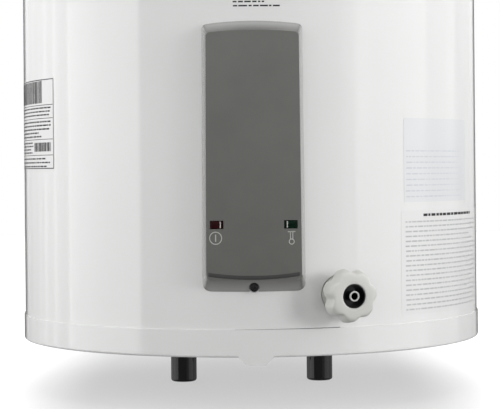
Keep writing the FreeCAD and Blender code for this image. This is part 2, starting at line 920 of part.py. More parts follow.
def cable_entry():
    """Gland in the pan, its nut, and the conduit up to the control compartment."""
    bore = gland_bore / 2
    hex_low = pan_floor - gland_hex_height
    dome_low = hex_low - gland_dome_length
    nut_top = pan_floor_top + gland_nut_height
    body = hexagon(gland_hex, hex_low, pan_floor)
    body = body.fuse(ring(gland_thread_diameter / 2, 0, pan_floor, nut_top))
    dome = turned([
        (0, dome_low, 0),
        (gland_dome_diameter / 2, dome_low, gland_dome_length / 4),
        (gland_dome_diameter / 2, hex_low, 0),
        (0, hex_low, 0),
    ])
    body = body.fuse(dome).cut(ring(bore, 0, dome_low, nut_top))
    nut = hexagon(gland_nut_hex, pan_floor_top, nut_top)
    nut = nut.cut(ring(gland_thread_diameter / 2 + thread_gap, 0, pan_floor_top, nut_top))
    route = [
        (0, -gland_reach, nut_top + conduit_gap),
        (0, -gland_reach, conduit_level),
        (conduit_x, -conduit_reach, conduit_level),
        (conduit_x, -conduit_reach, opening_low - liner_wall + conduit_gap),
    ]
    outer = conduit_diameter / 2
    conduit = tube_along(route, outer, conduit_bend, outer - conduit_wall)
    return {
        "cable_gland": moved(one_solid(body), y=-gland_reach),
        "gland_nut": moved(nut, y=-gland_reach),
        "wire_conduit": conduit,
    }


def wire(points):
    """One insulated lead, bent to one radius throughout."""
    return tube_along(points, wire_diameter / 2, wire_bend)


def wiring():
    """Leads between the block, thermostat, element and earth, each ending at its screw or pin."""
    radius = wire_diameter / 2
    pitch = block_width / block_poles
    pole = [block_centre + (index - (block_poles - 1) / 2) * pitch for index in range(block_poles)]
    pole_y = -((tank_radius + block_front) / 2 + block_hole / 2)
    inside_pole = block_high - block_screw_diameter
    above_block = block_high + 2 * wire_diameter
    side = opening_width / 2 - liner_gap - carrier_thickness - wire_diameter
    side_y = -(element_hex_front - 2 * wire_diameter)
    screw_x = thermostat_width / 2 - terminal_inset
    screw_y = -(thermostat_front + radius + wire_gap)
    screw_foot = thermostat_low + terminal_inset - terminal_screw_diameter / 2 - wire_gap
    pin_x = element_pin_spacing / 2
    pin_y = -(element_hex_front + radius + wire_gap)
    pin_edge = element_pin_diameter / 2 + wire_gap
    above_hex = element_height + element_hex / math.sqrt(3) + radius
    live = wire([
        (pole[0], pole_y, inside_pole),
        (pole[0], pole_y, above_block),
        (-side, side_y, above_block + 4 * wire_diameter),
        (-side, side_y, screw_foot - 9 * wire_diameter),
        (-screw_x, screw_y, screw_foot - 4 * wire_diameter),
        (-screw_x, screw_y, screw_foot),
    ])
    neutral = wire([
        (pole[1], pole_y, inside_pole),
        (pole[1], pole_y, above_block),
        (-pin_x, pin_y, lamp_height - carrier_height / 2 - wire_diameter),
        (-pin_x, pin_y, element_height - pin_edge),
    ])
    link = wire([
        (pin_x, pin_y, element_height + pin_edge),
        (pin_x, pin_y, above_hex),
        (screw_x, screw_y, screw_foot - 4 * wire_diameter),
        (screw_x, screw_y, screw_foot),
    ])
    head_reach = math.sqrt(tank_radius ** 2 - earth_x ** 2) + earth_stud_length
    head_y = -(head_reach - earth_head_height / 2)
    head_top = earth_height + earth_head_diameter / math.sqrt(3) + wire_gap
    earth = wire([
        (pole[2], pole_y, inside_pole),
        (pole[2], pole_y, above_block),
        (earth_x, head_y, above_block + wire_diameter),
        (earth_x, head_y, head_top),
    ])
    return {
        "live_and_neutral_leads": Part.makeCompound([live, neutral]),
        "element_link_lead": link,
        "earth_lead": earth,
    }


def cover_outline(half_top, half_bottom, low, high, bow, corner, reach):
    """Cover outline in a plane: bowed top and bottom edges, straight sides, round corners."""
    ends = []
    for half, edge, arch, radius, sign in (
        (half_top, high, bow[0], corner[0], 1),
        (half_bottom, low, bow[1], corner[1], -1),
    ):
        bow_radius = (half ** 2 + arch ** 2) / (2 * arch)
        centre = edge - sign * bow_radius
        rise = math.sqrt((bow_radius - radius) ** 2 - (half - radius) ** 2)
        turn = Vector(half - radius, -reach, centre + sign * rise)
        outward = (turn - Vector(0, -reach, centre)).normalize()
        touch = Vector(0, -reach, centre) + outward * bow_radius
        middle = turn + (outward + Vector(1, 0, 0)).normalize() * radius
        side = turn + Vector(radius, 0, 0)
        ends.append((Vector(0, -reach, edge), touch, middle, side))
    (crest, touch, middle, side), (crest2, touch2, middle2, side2) = ends
    edges = [
        Part.Arc(mirrored(touch), crest, touch).toShape(),
        Part.Arc(touch, middle, side).toShape(),
        Part.makeLine(side, side2),
        Part.Arc(side2, middle2, touch2).toShape(),
        Part.Arc(touch2, crest2, mirrored(touch2)).toShape(),
        Part.Arc(mirrored(touch2), mirrored(middle2), mirrored(side2)).toShape(),
        Part.makeLine(mirrored(side2), mirrored(side)),
        Part.Arc(mirrored(side), mirrored(middle), mirrored(touch)).toShape(),
    ]
    return Part.Wire(edges)


def mirrored(point):
    """Point on the other side of the middle plane."""
    return Vector(-point.x, point.y, point.z)


def cover_block(shrink):
    """Drafted block of the cover between two flat outlines, shrunk all round for its inside."""
    front = face_radius + cover_wall
    back = math.sqrt(jacket_inner ** 2 - (opening_width / 2) ** 2) - cover_wall
    front_extra = front - face_radius
    back_depth = face_radius - back
    wires = []
    for depth, blend in ((-front_extra, 0.0), (back_depth, 1.0)):
        side = cover_side_draft * depth - shrink
        half_top = cover_face_top_width / 2 + side
        half_bottom = cover_face_bottom_width / 2 + side
        high = cover_face_high + cover_top_draft * depth - shrink
        low = cover_face_low - cover_bottom_draft * depth + shrink
        bow = (
            cover_face_top_bow + blend * (cover_foot_top_bow - cover_face_top_bow),
            cover_face_bottom_bow + blend * (cover_foot_bottom_bow - cover_face_bottom_bow),
        )
        corner = (
            cover_face_top_corner + blend * (cover_foot_top_corner - cover_face_top_corner),
            cover_face_bottom_corner + blend * (cover_foot_bottom_corner - cover_face_bottom_corner),
        )
        wires.append(cover_outline(half_top, half_bottom, low, high, bow, corner, face_radius - depth))
    return Part.makeLoft(wires, True, True)


def access_cover():
    """Moulded front cover with lamp windows, locating tongue and screw notch."""
    outside = cover_block(0).common(ring(face_radius, cover_foot_radius, 0, roof))
    hollow = cover_block(cover_wall).common(ring(face_radius - cover_wall, 0, 0, roof))
    shell = outside.cut(hollow)
    boss = ring(notch_diameter / 2 + notch_wall, 0, cover_foot_radius, face_radius)
    shell = shell.fuse(facing_front(boss, screw_height).common(outside))
    notch = ring(notch_diameter / 2, 0, screw_seat_reach, face_radius + cover_wall)
    shell = shell.cut(facing_front(notch, screw_height))
    shell = shell.cut(
        front_box(notch_diameter, screw_seat_reach, face_radius, 0, screw_height)
    )
    nut_space = ring(nut_flange_diameter / 2 + cover_nut_gap, 0, 0, screw_seat_reach - screw_seat)
    shell = shell.cut(facing_front(nut_space, screw_height))
    shell = shell.cut(facing_front(ring(cover_screw_hole / 2, 0, 0, face_radius), screw_height))
    for side in (-1, 1):
        window = front_box(
            lamp_width + 2 * window_gap, jacket_radius, face_radius + cover_wall,
            lamp_height - lamp_tall / 2 - window_gap, lamp_height + lamp_tall / 2 + window_gap,
            side * lamp_spacing / 2,
        )
        shell = shell.cut(window)
    tongue_top = opening_high - cover_tongue_gap
    web = front_box(
        cover_tongue_width, jacket_inner - cover_tongue_depth, face_radius - cover_wall / 2,
        tongue_top - cover_tongue_thickness, tongue_top,
    )
    return one_solid(shell.fuse(web))


def cover_hinge_z():
    """Height of the edge about which the cover tips out."""
    depth = face_radius - cover_foot_radius
    return cover_face_high + cover_top_draft * depth + cover_hinge_rise


def cover_fixing():
    """Cross-head screw that stays with the cover, and its rivet nut in the jacket."""
    head_top = screw_seat_reach + screw_head_height
    screw = turned([
        (0, screw_seat_reach - screw_length, 0),
        (screw_diameter / 2, screw_seat_reach - screw_length, 0),
        (screw_diameter / 2, screw_seat_reach, 0),
        (screw_head_diameter / 2, screw_seat_reach, 0),
        (screw_head_diameter / 2, head_top, screw_head_rounding),
        (0, head_top, 0),
    ])
    for angle in (0, 90):
        slot = Part.makeBox(
            screw_slot_length, screw_slot_width, screw_slot_depth,
            Vector(-screw_slot_length / 2, -screw_slot_width / 2, head_top - screw_slot_depth),
        )
        slot.rotate(Vector(0, 0, 0), Vector(0, 0, 1), angle)
        screw = screw.cut(slot)
    barrel_end = jacket_radius - nut_barrel_length
    nut = ring(nut_barrel_diameter / 2, 0, barrel_end, jacket_radius)
    nut = nut.fuse(ring(nut_flange_diameter / 2, 0, jacket_radius, jacket_radius + nut_flange))
    nut = nut.cut(ring(nut_bore / 2, 0, barrel_end, jacket_radius + nut_flange))
    return {
        "cover_screw": facing_front(one_solid(screw), screw_height),
        "cover_rivet_nut": facing_front(one_solid(nut), screw_height),
    }


def drain_clearance_radius():
    """Radius of the hole that the hexagon of the drain valve passes through."""
    return drain_hex / math.sqrt(3) + drain_hex_gap


def lobed_outline(radius, height):
    """Wheel outline at one height: convex lobes and shallow hollows between them."""
    step = 360 / wheel_lobes
    valley = radius - 2 * wheel_lobe_height
    middle = radius - wheel_lobe_height
    edges = []
    for index in range(wheel_lobes):
        centre = wheel_first_lobe + index * step
        tip = polar(radius, centre, height)
        before = polar(middle, centre - step / 4, height)
        after = polar(middle, centre + step / 4, height)
        hollow = polar(valley, centre + step / 2, height)
        following = polar(middle, centre + 3 * step / 4, height)
        edges.append(Part.Arc(before, tip, after).toShape())
        edges.append(Part.Arc(after, hollow, following).toShape())
    return Part.Wire(edges)


def polar(radius, angle, height):
    """Point from a radius and an angle in degrees."""
    turn = math.radians(angle)
    return Vector(radius * math.cos(turn), radius * math.sin(turn), height)


def drain_wheel():
    """Seven-lobed hand wheel with a deep round recess in its front."""
    sections = [
        (wheel_radius_back, wheel_depth),
        (wheel_radius_widest, wheel_widest_depth),
        (wheel_radius_waist, wheel_waist_depth),
        (wheel_radius_shoulder, wheel_shoulder_depth),
        (wheel_radius_front, 0),
    ]
    wires = [lobed_outline(radius, drain_hub_reach - depth) for radius, depth in sections]
    wheel = Part.makeLoft(wires, True, True)
    wheel = wheel.cut(ring(wheel_recess_diameter / 2, 0, recess_floor_reach, drain_hub_reach))
    bore = nozzle_diameter / 2 + wheel_running_gap
    return one_solid(wheel.cut(ring(bore, 0, wheel_back_reach, drain_hub_reach)))


def drain_valve():
    """Drain valve on its spud: body, seal, sliding spindle, escutcheon and wheel."""
    bore = drain_bore_diameter / 2
    seat_bore = drain_seat_bore / 2
    thread = drain_thread_diameter / 2
    neck = drain_neck_diameter / 2
    hex_front = drain_hex_back + drain_hex_depth
    neck_end = wheel_back_reach - drain_neck_gap
    spud = ring(
        drain_spud_diameter / 2, thread + thread_gap, drain_spud_inner_reach(), drain_spud_outer_reach
    )
    body = ring(thread, 0, drain_shank_reach, drain_hex_back)
    body = body.fuse(hexagon(drain_hex, drain_hex_back, hex_front))
    body = body.fuse(ring(neck, 0, hex_front, neck_end))
    body = body.cut(ring(bore, 0, drain_seat_reach, neck_end))
    body = body.cut(ring(seat_bore, 0, drain_shank_reach, neck_end))
    seal_front = drain_seat_reach + drain_seal_thickness
    seal = ring(bore - drain_seal_gap, seat_bore + drain_seal_gap, drain_seat_reach, seal_front)
    spindle_back = seal_front + drain_seal_gap
    nozzle = nozzle_diameter / 2
    cup_back = recess_floor_reach + cup_running_gap
    cup_outer = wheel_recess_diameter / 2 - cup_running_gap
    cup_front = drain_hub_reach - spindle_cup_inset
    spindle = ring(spindle_thread_diameter / 2, 0, spindle_back, spindle_back + spindle_thread_length)
    spindle = spindle.fuse(ring(nozzle, 0, spindle_back, drain_hub_reach))
    cup = ring(cup_outer, 0, cup_back, cup_front)
    cup = cup.cut(ring(cup_outer - spindle_cup_wall, 0, cup_back + spindle_cup_floor, cup_front))
    spindle = spindle.fuse(cup).cut(ring(nozzle_bore / 2, 0, spindle_back, drain_hub_reach))
    parts = {
        "drain_spud": spud,
        "drain_valve_body": one_solid(body),
        "drain_seal": seal,
        "drain_spindle": one_solid(spindle),
        "drain_wheel": drain_wheel(),
    }
    placed = {name: facing_front(shape, drain_height, drain_angle) for name, shape in parts.items()}
    plate = ring(escutcheon_diameter / 2, neck + escutcheon_gap, tank_radius, drain_hub_reach)
    plate = facing_front(plate, drain_height, drain_angle)
    skin = ring(jacket_radius + escutcheon_thickness, jacket_radius, 0, roof)
    placed["drain_escutcheon"] = one_solid(plate.common(skin))
    return placed


def bracket_slot(height):
    """Round-ended cutter for the right-hand wall slot, its length across the wall."""
    across = slot_spacing_x / 2
    run = (slot_length - slot_width) / 2
    cutter = Part.makeBox(
        2 * run, wall_plane, slot_width, Vector(across - run, 0, height - slot_width / 2)
    )
    for side in (-1, 1):
        end = Vector(across + side * run, 0, height)
        cutter = cutter.fuse(Part.makeCylinder(slot_width / 2, wall_plane, end, Vector(0, 1, 0)))
    return cutter


def wall_bracket(height):
    """Bent steel strip: a middle that hugs the jacket, two legs and two slotted ears."""
    low = height - bracket_height / 2
    high = height + bracket_height / 2
    inner = jacket_radius + bracket_fit
    half_hat = bracket_hat_width / 2
    ear_end = slot_spacing_x / 2 + slot_length / 2 + slot_end_margin
    hug = ring(inner + bracket_strip, inner, low, high)
    behind = Part.makeBox(bracket_hat_width, wall_plane, bracket_height, Vector(-half_hat, 0, low))
    strip = hug.common(behind)
    for side in (-1, 1):
        leg_start = math.sqrt((inner + bracket_strip / 2) ** 2 - half_hat ** 2)
        leg = Part.makeBox(
            bracket_strip, wall_plane - leg_start, bracket_height,
            Vector(half_hat - bracket_strip, leg_start, low),
        )
        ear = Part.makeBox(
            ear_end - half_hat + bracket_strip, bracket_strip, bracket_height,
            Vector(half_hat - bracket_strip, wall_plane - bracket_strip, low),
        )
        wing = leg.fuse(ear).cut(bracket_slot(height))
        if side < 0:
            wing = wing.mirror(Vector(0, 0, 0), Vector(1, 0, 0))
        strip = strip.fuse(wing)
    strip = strip.cut(Part.makeCylinder(inner, bracket_height, Vector(0, 0, low)))
    hole = ring(stud_diameter / 2 + stud_hole_gap, 0, tank_radius, wall_plane)
    for azimuth in (180 - stud_angle, 180 + stud_angle):
        strip = strip.cut(facing_front(hole, height, azimuth))
    return one_solid(strip)


def bracket_fixings():
    """Pads on the tank wall, the studs welded to them and their nuts."""
    pad_inner = tank_radius
    pad_outer = pad_inner + pad_thickness
    pads = []
    for height in (lower_slot_height, lower_slot_height + slot_spacing_z):
        low = height - pad_height / 2
        band = ring(pad_outer, pad_inner, low, low + pad_height)
        window = Part.makeBox(pad_width, jacket_radius, pad_height, Vector(-pad_width / 2, 0, low))
        pads.append(band.common(window))
    seat = jacket_radius + bracket_fit + bracket_strip + bracket_fit
    nut = hexagon(nut_hex, seat, seat + nut_height)
    nut = nut.cut(ring(stud_diameter / 2 + thread_gap, 0, seat, seat + nut_height))
    stud = ring(stud_diameter / 2, 0, tank_radius, seat + nut_height + stud_beyond_nut)
    pad_skin = ring(pad_outer, 0, 0, roof)
    studs = [facing_front(stud, height, azimuth).cut(pad_skin) for azimuth, height in stud_places()]
    nuts = [facing_front(nut, height, azimuth) for azimuth, height in stud_places()]
    return {
        "bracket_pads": Part.makeCompound(pads),
        "bracket_studs": Part.makeCompound(studs),
        "bracket_nuts": Part.makeCompound(nuts),
    }


def insulation_foam(parts):
    """Foam that fills the space between tank and casing, round everything that crosses it."""
    low = pan_floor_top + grommet_lip + foam_gap
    foam = ring(jacket_inner - foam_gap, 0, low, roof - cap_corner - foam_gap)
    foam = foam.cut(tank_envelope(foam_gap))
    foam = foam.cut(liner_box(liner_wall + foam_gap))
    for x in (-pipe_x, pipe_x):
        foam = foam.cut(Part.makeCylinder(spud_radius + foam_gap, tank_joins()[0], Vector(x, 0, 0)))
    anode_well = access_hole_diameter / 2
    foam = foam.cut(Part.makeCylinder(anode_well, tank_joins()[0], Vector(0, anode_offset, 0)))
    valve_well = ring(drain_clearance_radius(), 0, drain_spud_inner_reach(), jacket_radius)
    foam = foam.cut(facing_front(valve_well, drain_height, drain_angle))
    nut_well = ring(nut_barrel_diameter / 2 + foam_gap, 0, tank_radius, jacket_radius)
    foam = foam.cut(facing_front(nut_well, screw_height))
    stud_well = ring(stud_diameter / 2 + foam_gap, 0, tank_radius, jacket_radius)
    for azimuth, height in stud_places():
        foam = foam.cut(facing_front(stud_well, height, azimuth))
    for pad in parts["bracket_pads"].Solids:
        foam = foam.cut(pad)
    nut_radius = gland_nut_hex / math.sqrt(3) + foam_gap
    foam = foam.cut(Part.makeCylinder(nut_radius, conduit_level, Vector(0, -gland_reach, 0)))
    route_outer = conduit_diameter / 2 + foam_gap
    foam = foam.cut(
        tube_along(
            [
                (0, -gland_reach, pan_floor_top),
                (0, -gland_reach, conduit_level),
                (conduit_x, -conduit_reach, conduit_level),
                (conduit_x, -conduit_reach, opening_low),
            ],
            route_outer, conduit_bend,
        )
    )
    return one_solid(foam)


def build_parts():
    """Every node of the heater by name, about the tank axis."""
    parts = {
        "jacket": jacket(),
        "top_cap": top_cap(),
        "base_pan": base_pan(),
        "compartment_liner": compartment_liner(),
        "access_cover": access_cover(),
        "lower_wall_bracket": wall_bracket(lower_slot_height),
        "upper_wall_bracket": wall_bracket(lower_slot_height + slot_spacing_z),
    }
    for group in (
        tank, pipe_connections, inside_pipes, anode, element, thermostat, lamp_parts,
        terminal_parts, cable_entry, wiring, cover_fixing, drain_valve, bracket_fixings,
    ):
        parts.update(group())
    parts["insulation_foam"] = insulation_foam(parts)
    return parts


def main():
    """Write one file per node, with the origin in the middle of the wall slots."""
    os.makedirs("parts", exist_ok=True)
    home = Vector(0, -wall_plane, -slot_centre_height)
    for name, shape in build_parts().items():
        shape.translate(home)
        shape.exportStep("parts/%s.step" % name)
        print("%-28s solids %d  volume %.0f" % (name, len(shape.Solids), shape.Volume))
    hinge = Vector(0, -(cover_foot_radius + cover_hinge_proud), cover_hinge_z()) + home
    print("cover hinge at", round(hinge.y, 3), round(hinge.z, 3))


main()
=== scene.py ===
# %% [markdown]
# A wall-hung water heater, dressed for its portrait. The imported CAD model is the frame: every
# node already lies at its true place, in metres, with the wall at y = 0 and the front facing -Y.
# This first step loads it and works out the two numbers that the other steps lean on: where
# the upright tank axis stands, and how high the rim of the base pan is.

# %% Load the frame
import bpy
import bmesh
import json
import random
from math import atan2, ceil, cos, pi, radians, sin, sqrt
from mathutils import Matrix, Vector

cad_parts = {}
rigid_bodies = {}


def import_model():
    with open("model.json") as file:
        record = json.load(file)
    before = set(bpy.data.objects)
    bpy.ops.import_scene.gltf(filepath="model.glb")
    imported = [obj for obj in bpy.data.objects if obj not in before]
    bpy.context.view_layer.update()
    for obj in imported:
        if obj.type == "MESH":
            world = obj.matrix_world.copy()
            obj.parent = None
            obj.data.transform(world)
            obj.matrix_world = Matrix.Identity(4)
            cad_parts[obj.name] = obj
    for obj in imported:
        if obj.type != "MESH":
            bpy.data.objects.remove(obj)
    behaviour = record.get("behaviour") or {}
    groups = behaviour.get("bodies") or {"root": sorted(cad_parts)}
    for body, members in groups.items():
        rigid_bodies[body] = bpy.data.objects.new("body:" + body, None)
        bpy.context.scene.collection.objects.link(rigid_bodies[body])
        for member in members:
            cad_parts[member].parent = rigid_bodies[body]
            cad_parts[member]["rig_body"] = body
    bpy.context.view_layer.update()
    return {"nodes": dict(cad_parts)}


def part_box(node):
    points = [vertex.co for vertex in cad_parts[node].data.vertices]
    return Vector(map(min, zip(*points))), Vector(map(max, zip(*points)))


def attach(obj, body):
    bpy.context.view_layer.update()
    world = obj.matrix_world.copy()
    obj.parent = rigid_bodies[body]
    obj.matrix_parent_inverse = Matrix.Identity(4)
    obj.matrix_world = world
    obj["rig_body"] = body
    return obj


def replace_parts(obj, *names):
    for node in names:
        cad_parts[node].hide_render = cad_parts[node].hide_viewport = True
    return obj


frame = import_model()
nodes = frame["nodes"]

MM = 0.001
cap_low, cap_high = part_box("top_cap")
axis_y = (cap_low.y + cap_high.y) / 2
pan_corner = 2.0 * MM
rim_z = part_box("jacket")[0].z - pan_corner
jacket_radius = 227.5 * MM
cover_face_radius = 240.5 * MM
print("nodes", len(nodes), "tank axis at y", round(axis_y, 4), "rim at z", round(rim_z, 4))

# %% [markdown]
# The photograph was taken from the front with a long lens, at a height a little above the lamps
# of the cover. A long lens keeps the sides of the cylinder nearly upright. The camera stays level,
# so upright edges stay upright, and the picture is framed with a small shift instead of a tilt.
# It stands a trifle to the left of the middle plane and leans by half a degree, as the real one
# did. The camera, the lamps and the prints all stand round the tank, so a helper gives a point by
# its distance and azimuth from the tank axis.

# %% Camera
FRAME_WIDTH = 500
sensor_width = 36.0
camera_distance = 1.690
focal_pixels = 1660
camera_height = 164 * MM
camera_turn = radians(-0.7)
camera_lean = radians(-0.50)
horizon_above_middle = 33 / FRAME_WIDTH


def around_axis(distance, azimuth, height):
    """Point round the tank axis, its azimuth in radians from the front towards +X."""
    return (distance * sin(azimuth), axis_y - distance * cos(azimuth), height)


camera_data = bpy.data.cameras.new("camera")
camera_data.sensor_width = sensor_width
camera_data.lens = sensor_width * focal_pixels / FRAME_WIDTH
camera_data.shift_y = -horizon_above_middle
camera = bpy.data.objects.new("camera", camera_data)
bpy.context.scene.collection.objects.link(camera)
camera.location = around_axis(camera_distance, camera_turn, rim_z + camera_height)
camera.rotation_euler = (
    Matrix.Rotation(camera_turn, 4, "Z") @ Matrix.Rotation(radians(90), 4, "X")
    @ Matrix.Rotation(camera_lean, 4, "Z")
).to_euler()
bpy.context.scene.camera = camera
bpy.context.scene.view_settings.view_transform = "Standard"
print("lens", round(camera_data.lens, 1), "mm, shift", round(camera_data.shift_y, 3))

# %% [markdown]
# The world and every finish are trees of nodes. Written out line by line a tree is long and hard
# to follow, so one helper adds a node and fills its inputs, each with a value or with the output
# of another node. The others calculate, carry a value from one range to another, open a material,
# stretch its coordinates, and tell the rays that look, which are camera, mirror and glass rays,
# from the rays that only carry light.

# %% Helpers for node trees
WHITE = (1, 1, 1, 1)


def fill(tree, node, inputs):
    """Give each named input a value, or link it to another node's output."""
    for socket, value in inputs.items():
        if isinstance(value, bpy.types.NodeSocket):
            tree.links.new(value, node.inputs[socket])
        else:
            node.inputs[socket].default_value = value


def add_node(tree, kind, inputs, **settings):
    """New node with its settings and its inputs."""
    node = tree.nodes.new(kind)
    for setting, value in settings.items():
        setattr(node, setting, value)
    fill(tree, node, inputs)
    return node


def calculate(tree, operation, *values):
    """Result of an operation on values or outputs."""
    return add_node(
        tree, "ShaderNodeMath", dict(enumerate(values)), operation=operation
    ).outputs[0]


def carried(tree, value, source, target, **settings):
    """Value carried from one range to another."""
    return add_node(tree, "ShaderNodeMapRange", {
        "Value": value, "From Min": source[0], "From Max": source[1],
        "To Min": target[0], "To Max": target[1],
    }, **settings).outputs["Result"]


def start_finish(name):
    """New material and the handles that the other helpers use."""
    material = bpy.data.materials.new(name)
    material.use_nodes = True
    tree = material.node_tree
    shader = tree.nodes["Principled BSDF"]
    place = add_node(tree, "ShaderNodeTexCoord", {})
    return material, tree, shader, place.outputs["Object"]


def stretched(tree, place, scale):
    """Object coordinates stretched by a scale along each axis."""
    return add_node(tree, "ShaderNodeMapping", {"Vector": place, "Scale": scale}).outputs["Vector"]


def looking_rays(tree, path):
    """1 for camera, mirror and glass rays, 0 for the others."""
    seen = calculate(tree, "MAXIMUM", path.outputs["Is Camera Ray"], path.outputs["Is Glossy Ray"])
    return calculate(tree, "MAXIMUM", seen, path.outputs["Is Transmission Ray"])


print("node helpers ready")

# %% [markdown]
# The world is plain white to the camera, a sky that brightens upwards to mirror rays, and much
# dimmer as a lamp. So the backdrop is white, while the lamps decide how light the heater is.

# %% World
ambient = 0.205
sky_heights = (-0.12, 0.14)
sky_changes = (-0.5, 0.3)


def white_world():
    """World that looks white but lights the object gently."""
    world = bpy.data.worlds.new("studio")
    world.use_nodes = True
    tree = world.node_tree
    tree.nodes.clear()
    path = add_node(tree, "ShaderNodeLightPath", {})
    sky = add_node(tree, "ShaderNodeTexCoord", {})
    height = add_node(tree, "ShaderNodeSeparateXYZ", {0: sky.outputs["Generated"]})
    rise = carried(tree, height.outputs["Z"], sky_heights, sky_changes)
    strength = calculate(tree, "MULTIPLY_ADD", path.outputs["Is Glossy Ray"], rise, 1.0)
    lamp = add_node(tree, "ShaderNodeBackground", {"Color": WHITE, "Strength": ambient})
    backdrop = add_node(tree, "ShaderNodeBackground", {"Color": WHITE, "Strength": strength})
    mix = add_node(tree, "ShaderNodeMixShader", {
        0: looking_rays(tree, path), 1: lamp.outputs[0], 2: backdrop.outputs[0],
    })
    add_node(tree, "ShaderNodeOutputWorld", {"Surface": mix.outputs[0]})
    bpy.context.scene.world = world


white_world()
print("world lights with", ambient)

# %% [markdown]
# A glossy white cylinder is drawn by what it mirrors. Two tall softboxes stand left and right of
# the heater, so their mirror images start at a sharp line on the left and a softer one on the
# right, and the strip between them, which mirrors the dim room, stays a shade darker. Narrow
# panels carry both on round the sides for mirror rays alone. Each row gives a name, the azimuths
# of the two edges, the distance from the tank axis, the lowest and the highest point, the watts
# per square metre, and whether the panel also lights the heater.

# %% Softboxes
softboxes = (
    ("left_softbox", -50.5, -98, 1.70, -1.1, 1.2, 7.9, True),
    ("left_wrap_1", -95, -109, 1.80, -1.2, 1.3, 4.0, False),
    ("left_wrap_2", -107, -119, 1.85, -1.2, 1.3, 2.9, False),
    ("left_wrap_3", -117, -126, 1.90, -1.2, 1.3, 1.7, False),
    ("left_wrap_4", -124, -136, 1.95, -1.2, 1.3, 0.9, False),
    ("left_wrap_5", -134, -150, 2.00, -1.2, 1.3, 0.35, False),
    ("right_wrap", 91, 118, 1.80, -1.2, 1.3, 1.9, False),
    ("right_softbox", 47, 93, 1.70, -1.1, 1.2, 5.3, True),
    ("right_softbox_edge", 41, 47, 1.75, -1.0, 1.3, 3.0, True),
    ("right_softbox_haze", 24, 41, 1.80, -1.0, 1.3, 1.2, True),
)


def area_lamp(name, width, depth, power, place, turn):
    """Rectangular lamp at a place, turned from facing down."""
    data = bpy.data.lights.new(name, "AREA")
    data.shape = "RECTANGLE"
    data.size = width
    data.size_y = depth
    data.energy = power
    lamp = bpy.data.objects.new(name, data)
    bpy.context.scene.collection.objects.link(lamp)
    lamp.location = place
    lamp.rotation_euler = turn
    return lamp


def softbox(name, inner, outer, distance, low, high, power, lights):
    """Tall lamp between two azimuths in degrees, facing the tank axis."""
    middle = radians((inner + outer) / 2)
    width = 2 * distance * sin(abs(radians(outer - inner)) / 2)
    place = around_axis(distance, middle, (low + high) / 2)
    turn = (radians(90), 0, middle)
    lamp = area_lamp(name, width, high - low, power * width * (high - low), place, turn)
    lamp.visible_diffuse = lights


for row in softboxes:
    softbox(*row)
print("softboxes", len(softboxes))

# %% [markdown]
# Five more lamps are there for their light. A softbox above is the only one that is mirrored. A
# card on the floor in front throws a little light up, a small key lamp on the right throws the
# shadow of the hand wheel, and two fill lamps light the left of the front and the back. Each row
# gives a name, width, depth, watts, place and turn, and whether the lamp is mirrored.

# %% Lamps that only light
side_distance = 1.8
side_height = 0.06
side_tilt = radians(88)
key_azimuth = radians(52)
key_place = around_axis(side_distance, key_azimuth, side_height)
left_azimuth = radians(-32)
left_place = around_axis(side_distance, left_azimuth, side_height)
lighting = (
    ("overhead_softbox", 1.6, 1.2, 10.0, (0, axis_y - 0.5, 1.7), (radians(-16), 0, 0), True),
    ("low_card", 1.3, 0.5, 2.0, (0, axis_y - 1.1, rim_z - 0.03), (radians(115), 0, 0), False),
    ("key", 0.4, 0.4, 6.9, key_place, (side_tilt, 0, key_azimuth), False),
    ("left_fill", 0.8, 0.8, 2.6, left_place, (side_tilt, 0, left_azimuth), False),
    ("back_fill", 1.2, 1.2, 9.0, (0, axis_y + 1.9, 0.5), (radians(-75), 0, 0), False),
)
for *row, mirrored in lighting:
    lamp = area_lamp(*row)
    lamp.visible_camera = False
    lamp.visible_glossy = mirrored
print("lamps in all", len(bpy.data.lights))

# %% [markdown]
# Two black flags stand far behind the heater, out of the camera's sight. Its white sides mirror
# them at a very flat angle, and so end in a thin dark line against the white ground.

# %% Black flags
flag_azimuth = 162
flag_distance = 3.0
flag_width = 0.95
flag_height = 1.85
flag_level = -0.375
flag_black = (0.01, 0.01, 0.01, 1)


def black_flag(name, azimuth):
    """Dark upright panel that only mirror rays meet."""
    material, tree, shader, _ = start_finish(name)
    fill(tree, shader, {"Base Color": flag_black, "Specular IOR Level": 0.0})
    mesh = bpy.data.meshes.new(name)
    bm = bmesh.new()
    size = Matrix.Diagonal((flag_width, flag_height, 1, 1))
    upright = Matrix.Rotation(radians(90), 4, "X") @ size
    bmesh.ops.create_grid(bm, x_segments=1, y_segments=1, size=0.5, matrix=upright)
    bm.to_mesh(mesh)
    bm.free()
    mesh.materials.append(material)
    flag = bpy.data.objects.new(name, mesh)
    flag.rotation_euler = (0, 0, azimuth)
    flag.location = around_axis(flag_distance, azimuth, flag_level)
    bpy.context.scene.collection.objects.link(flag)
    flag.visible_camera = False
    flag.visible_diffuse = False
    flag.visible_shadow = False
    flag.visible_transmission = False


black_flag("left_flag", radians(-flag_azimuth))
black_flag("right_flag", radians(flag_azimuth))
print("flags at", flag_azimuth, "degrees to both sides")

# %% [markdown]
# The heater hangs just clear of a pale floor. The floor is white to the camera, yet it must keep
# the soft shadow of the pan. So it is an ordinary pale surface that also glows a little, and only
# for the rays that look at it. The glow is weak near the heater and grows outwards until the floor
# melts into the white world, so a broad painted shadow lies round the heater on top of its real
# one. Seen from below, the floor is clear, so that the underside can be looked at.

# %% Floor
floor_gap = 0.5 * MM
floor_radius = 4.0
floor_segments = 96
floor_grey = (0.3, 0.3, 0.3, 1)
# The glow stays low within a reach of the heater: a painted shadow, squashed in depth.
floor_glow = (0.52, 1.0)
painted_floor_shadow_reach = (0.15, 0.275)
painted_floor_shadow_squash = 0.3


